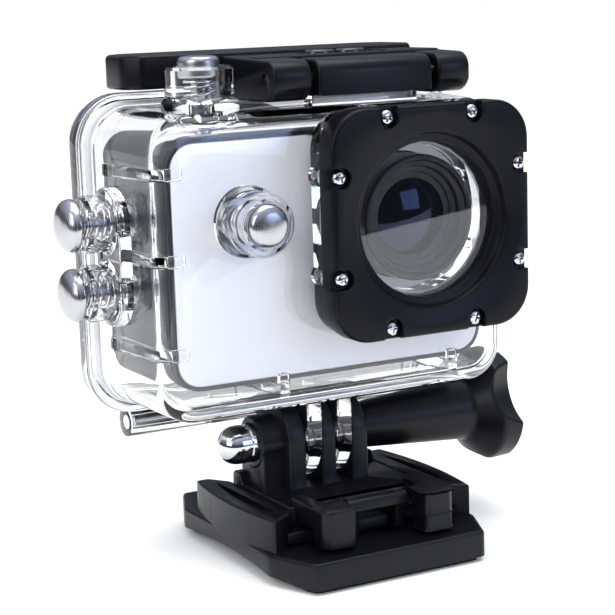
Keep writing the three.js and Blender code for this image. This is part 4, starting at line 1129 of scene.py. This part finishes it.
# %% Surround and lamps
world = bpy.data.worlds.new("studio")
bpy.context.scene.world = world
world.use_nodes = True
tree = world.node_tree
back = tree.nodes["Background"]
back.inputs["Strength"].default_value = 1.12
direction = tree.nodes.new("ShaderNodeTexCoord")
split = tree.nodes.new("ShaderNodeSeparateXYZ")
ramp = tree.nodes.new("ShaderNodeValToRGB")
ramp.color_ramp.elements[0].position, ramp.color_ramp.elements[0].color = 0.1, (0.05, 0.05, 0.07, 1)
ramp.color_ramp.elements[1].position, ramp.color_ramp.elements[1].color = 0.75, (0.62, 0.65, 0.8, 1)
glossy = tree.nodes.new("ShaderNodeLightPath")
choose = tree.nodes.new("ShaderNodeMix")
choose.data_type = "RGBA"
tree.links.new(direction.outputs["Generated"], split.inputs["Vector"])
tree.links.new(split.outputs["Z"], ramp.inputs["Fac"])
mirrored = tree.nodes.new("ShaderNodeMath")
mirrored.operation, mirrored.use_clamp = "SUBTRACT", True
tree.links.new(glossy.outputs["Is Glossy Ray"], mirrored.inputs[0])
tree.links.new(glossy.outputs["Is Transmission Ray"], mirrored.inputs[1])
tree.links.new(mirrored.outputs[0], choose.inputs["Factor"])
choose.inputs["A"].default_value = (1.0, 1.0, 1.0, 1)
tree.links.new(ramp.outputs["Color"], choose.inputs["B"])
away = tree.nodes.new("ShaderNodeMapRange")
away.inputs["From Min"].default_value, away.inputs["From Max"].default_value = -0.25, -0.55
tree.links.new(split.outputs["Y"], away.inputs["Value"])
bounced = tree.nodes.new("ShaderNodeMath")
bounced.operation = "MULTIPLY"
tree.links.new(glossy.outputs["Is Transmission Ray"], bounced.inputs[0])
tree.links.new(away.outputs["Result"], bounced.inputs[1])
once = tree.nodes.new("ShaderNodeMath")
once.operation, once.use_clamp = "MULTIPLY", True
tree.links.new(bounced.outputs[0], once.inputs[0])
tree.links.new(glossy.outputs["Glossy Depth"], once.inputs[1])
room = tree.nodes.new("ShaderNodeMix")
room.data_type = "RGBA"
tree.links.new(once.outputs[0], room.inputs["Factor"])
tree.links.new(choose.outputs["Result"], room.inputs["A"])
room.inputs["B"].default_value = (0.03, 0.03, 0.04, 1)
tree.links.new(room.outputs["Result"], back.inputs["Color"])


def soft_box(name, place, target, size, power, colour=(1, 1, 1)):
    """A rectangular lamp that faces a target. Sizes are in metres and power in watts."""
    lamp = bpy.data.lights.new(name, "AREA")
    lamp.shape, lamp.size, lamp.size_y = "RECTANGLE", *size
    lamp.energy, lamp.color = power, colour
    holder = bpy.data.objects.new(name, lamp)
    holder.location = place
    aim = Vector(target) - Vector(place)
    holder.rotation_euler = aim.to_track_quat("-Z", "Y").to_euler()
    bpy.context.scene.collection.objects.link(holder)
    return holder


soft_box("overhead", (0.05, -0.05, 0.75), (0, 0, 0.04), (0.7, 0.6), 4.0)
soft_box("left_fill", (-0.6, -0.25, 0.35), (0, 0, 0.05), (0.4, 0.5), 1.6, (0.96, 0.98, 1))
soft_box("front_card", (0.347, -0.606, 0.207), (0, 0, 0.05), (0.32, 0.28), 0.75, (0.5, 0.64, 1))

# %% The camera
eye = bpy.data.cameras.new("camera")
eye.lens, eye.sensor_width = LENS_MM, 36.0
eye.clip_start, eye.clip_end = 0.01, 60
camera = bpy.data.objects.new("camera", eye)
bpy.context.scene.collection.objects.link(camera)
forward = np.array([math.sin(yaw) * math.cos(pitch), math.cos(yaw) * math.cos(pitch), -math.sin(pitch)])
level = np.array([math.cos(yaw), -math.sin(yaw), 0])
upright = np.cross(level, forward)
right = math.cos(roll) * level + math.sin(roll) * upright
above = -math.sin(roll) * level + math.cos(roll) * upright
axes = Matrix([(*row, place) for row, place in zip(np.stack([right, above, -forward], 1),
                                                   CAMERA_AT)] + [(0, 0, 0, 1)])
camera.matrix_world = axes
bpy.context.scene.camera = camera
bpy.context.scene.view_settings.view_transform = "Standard"
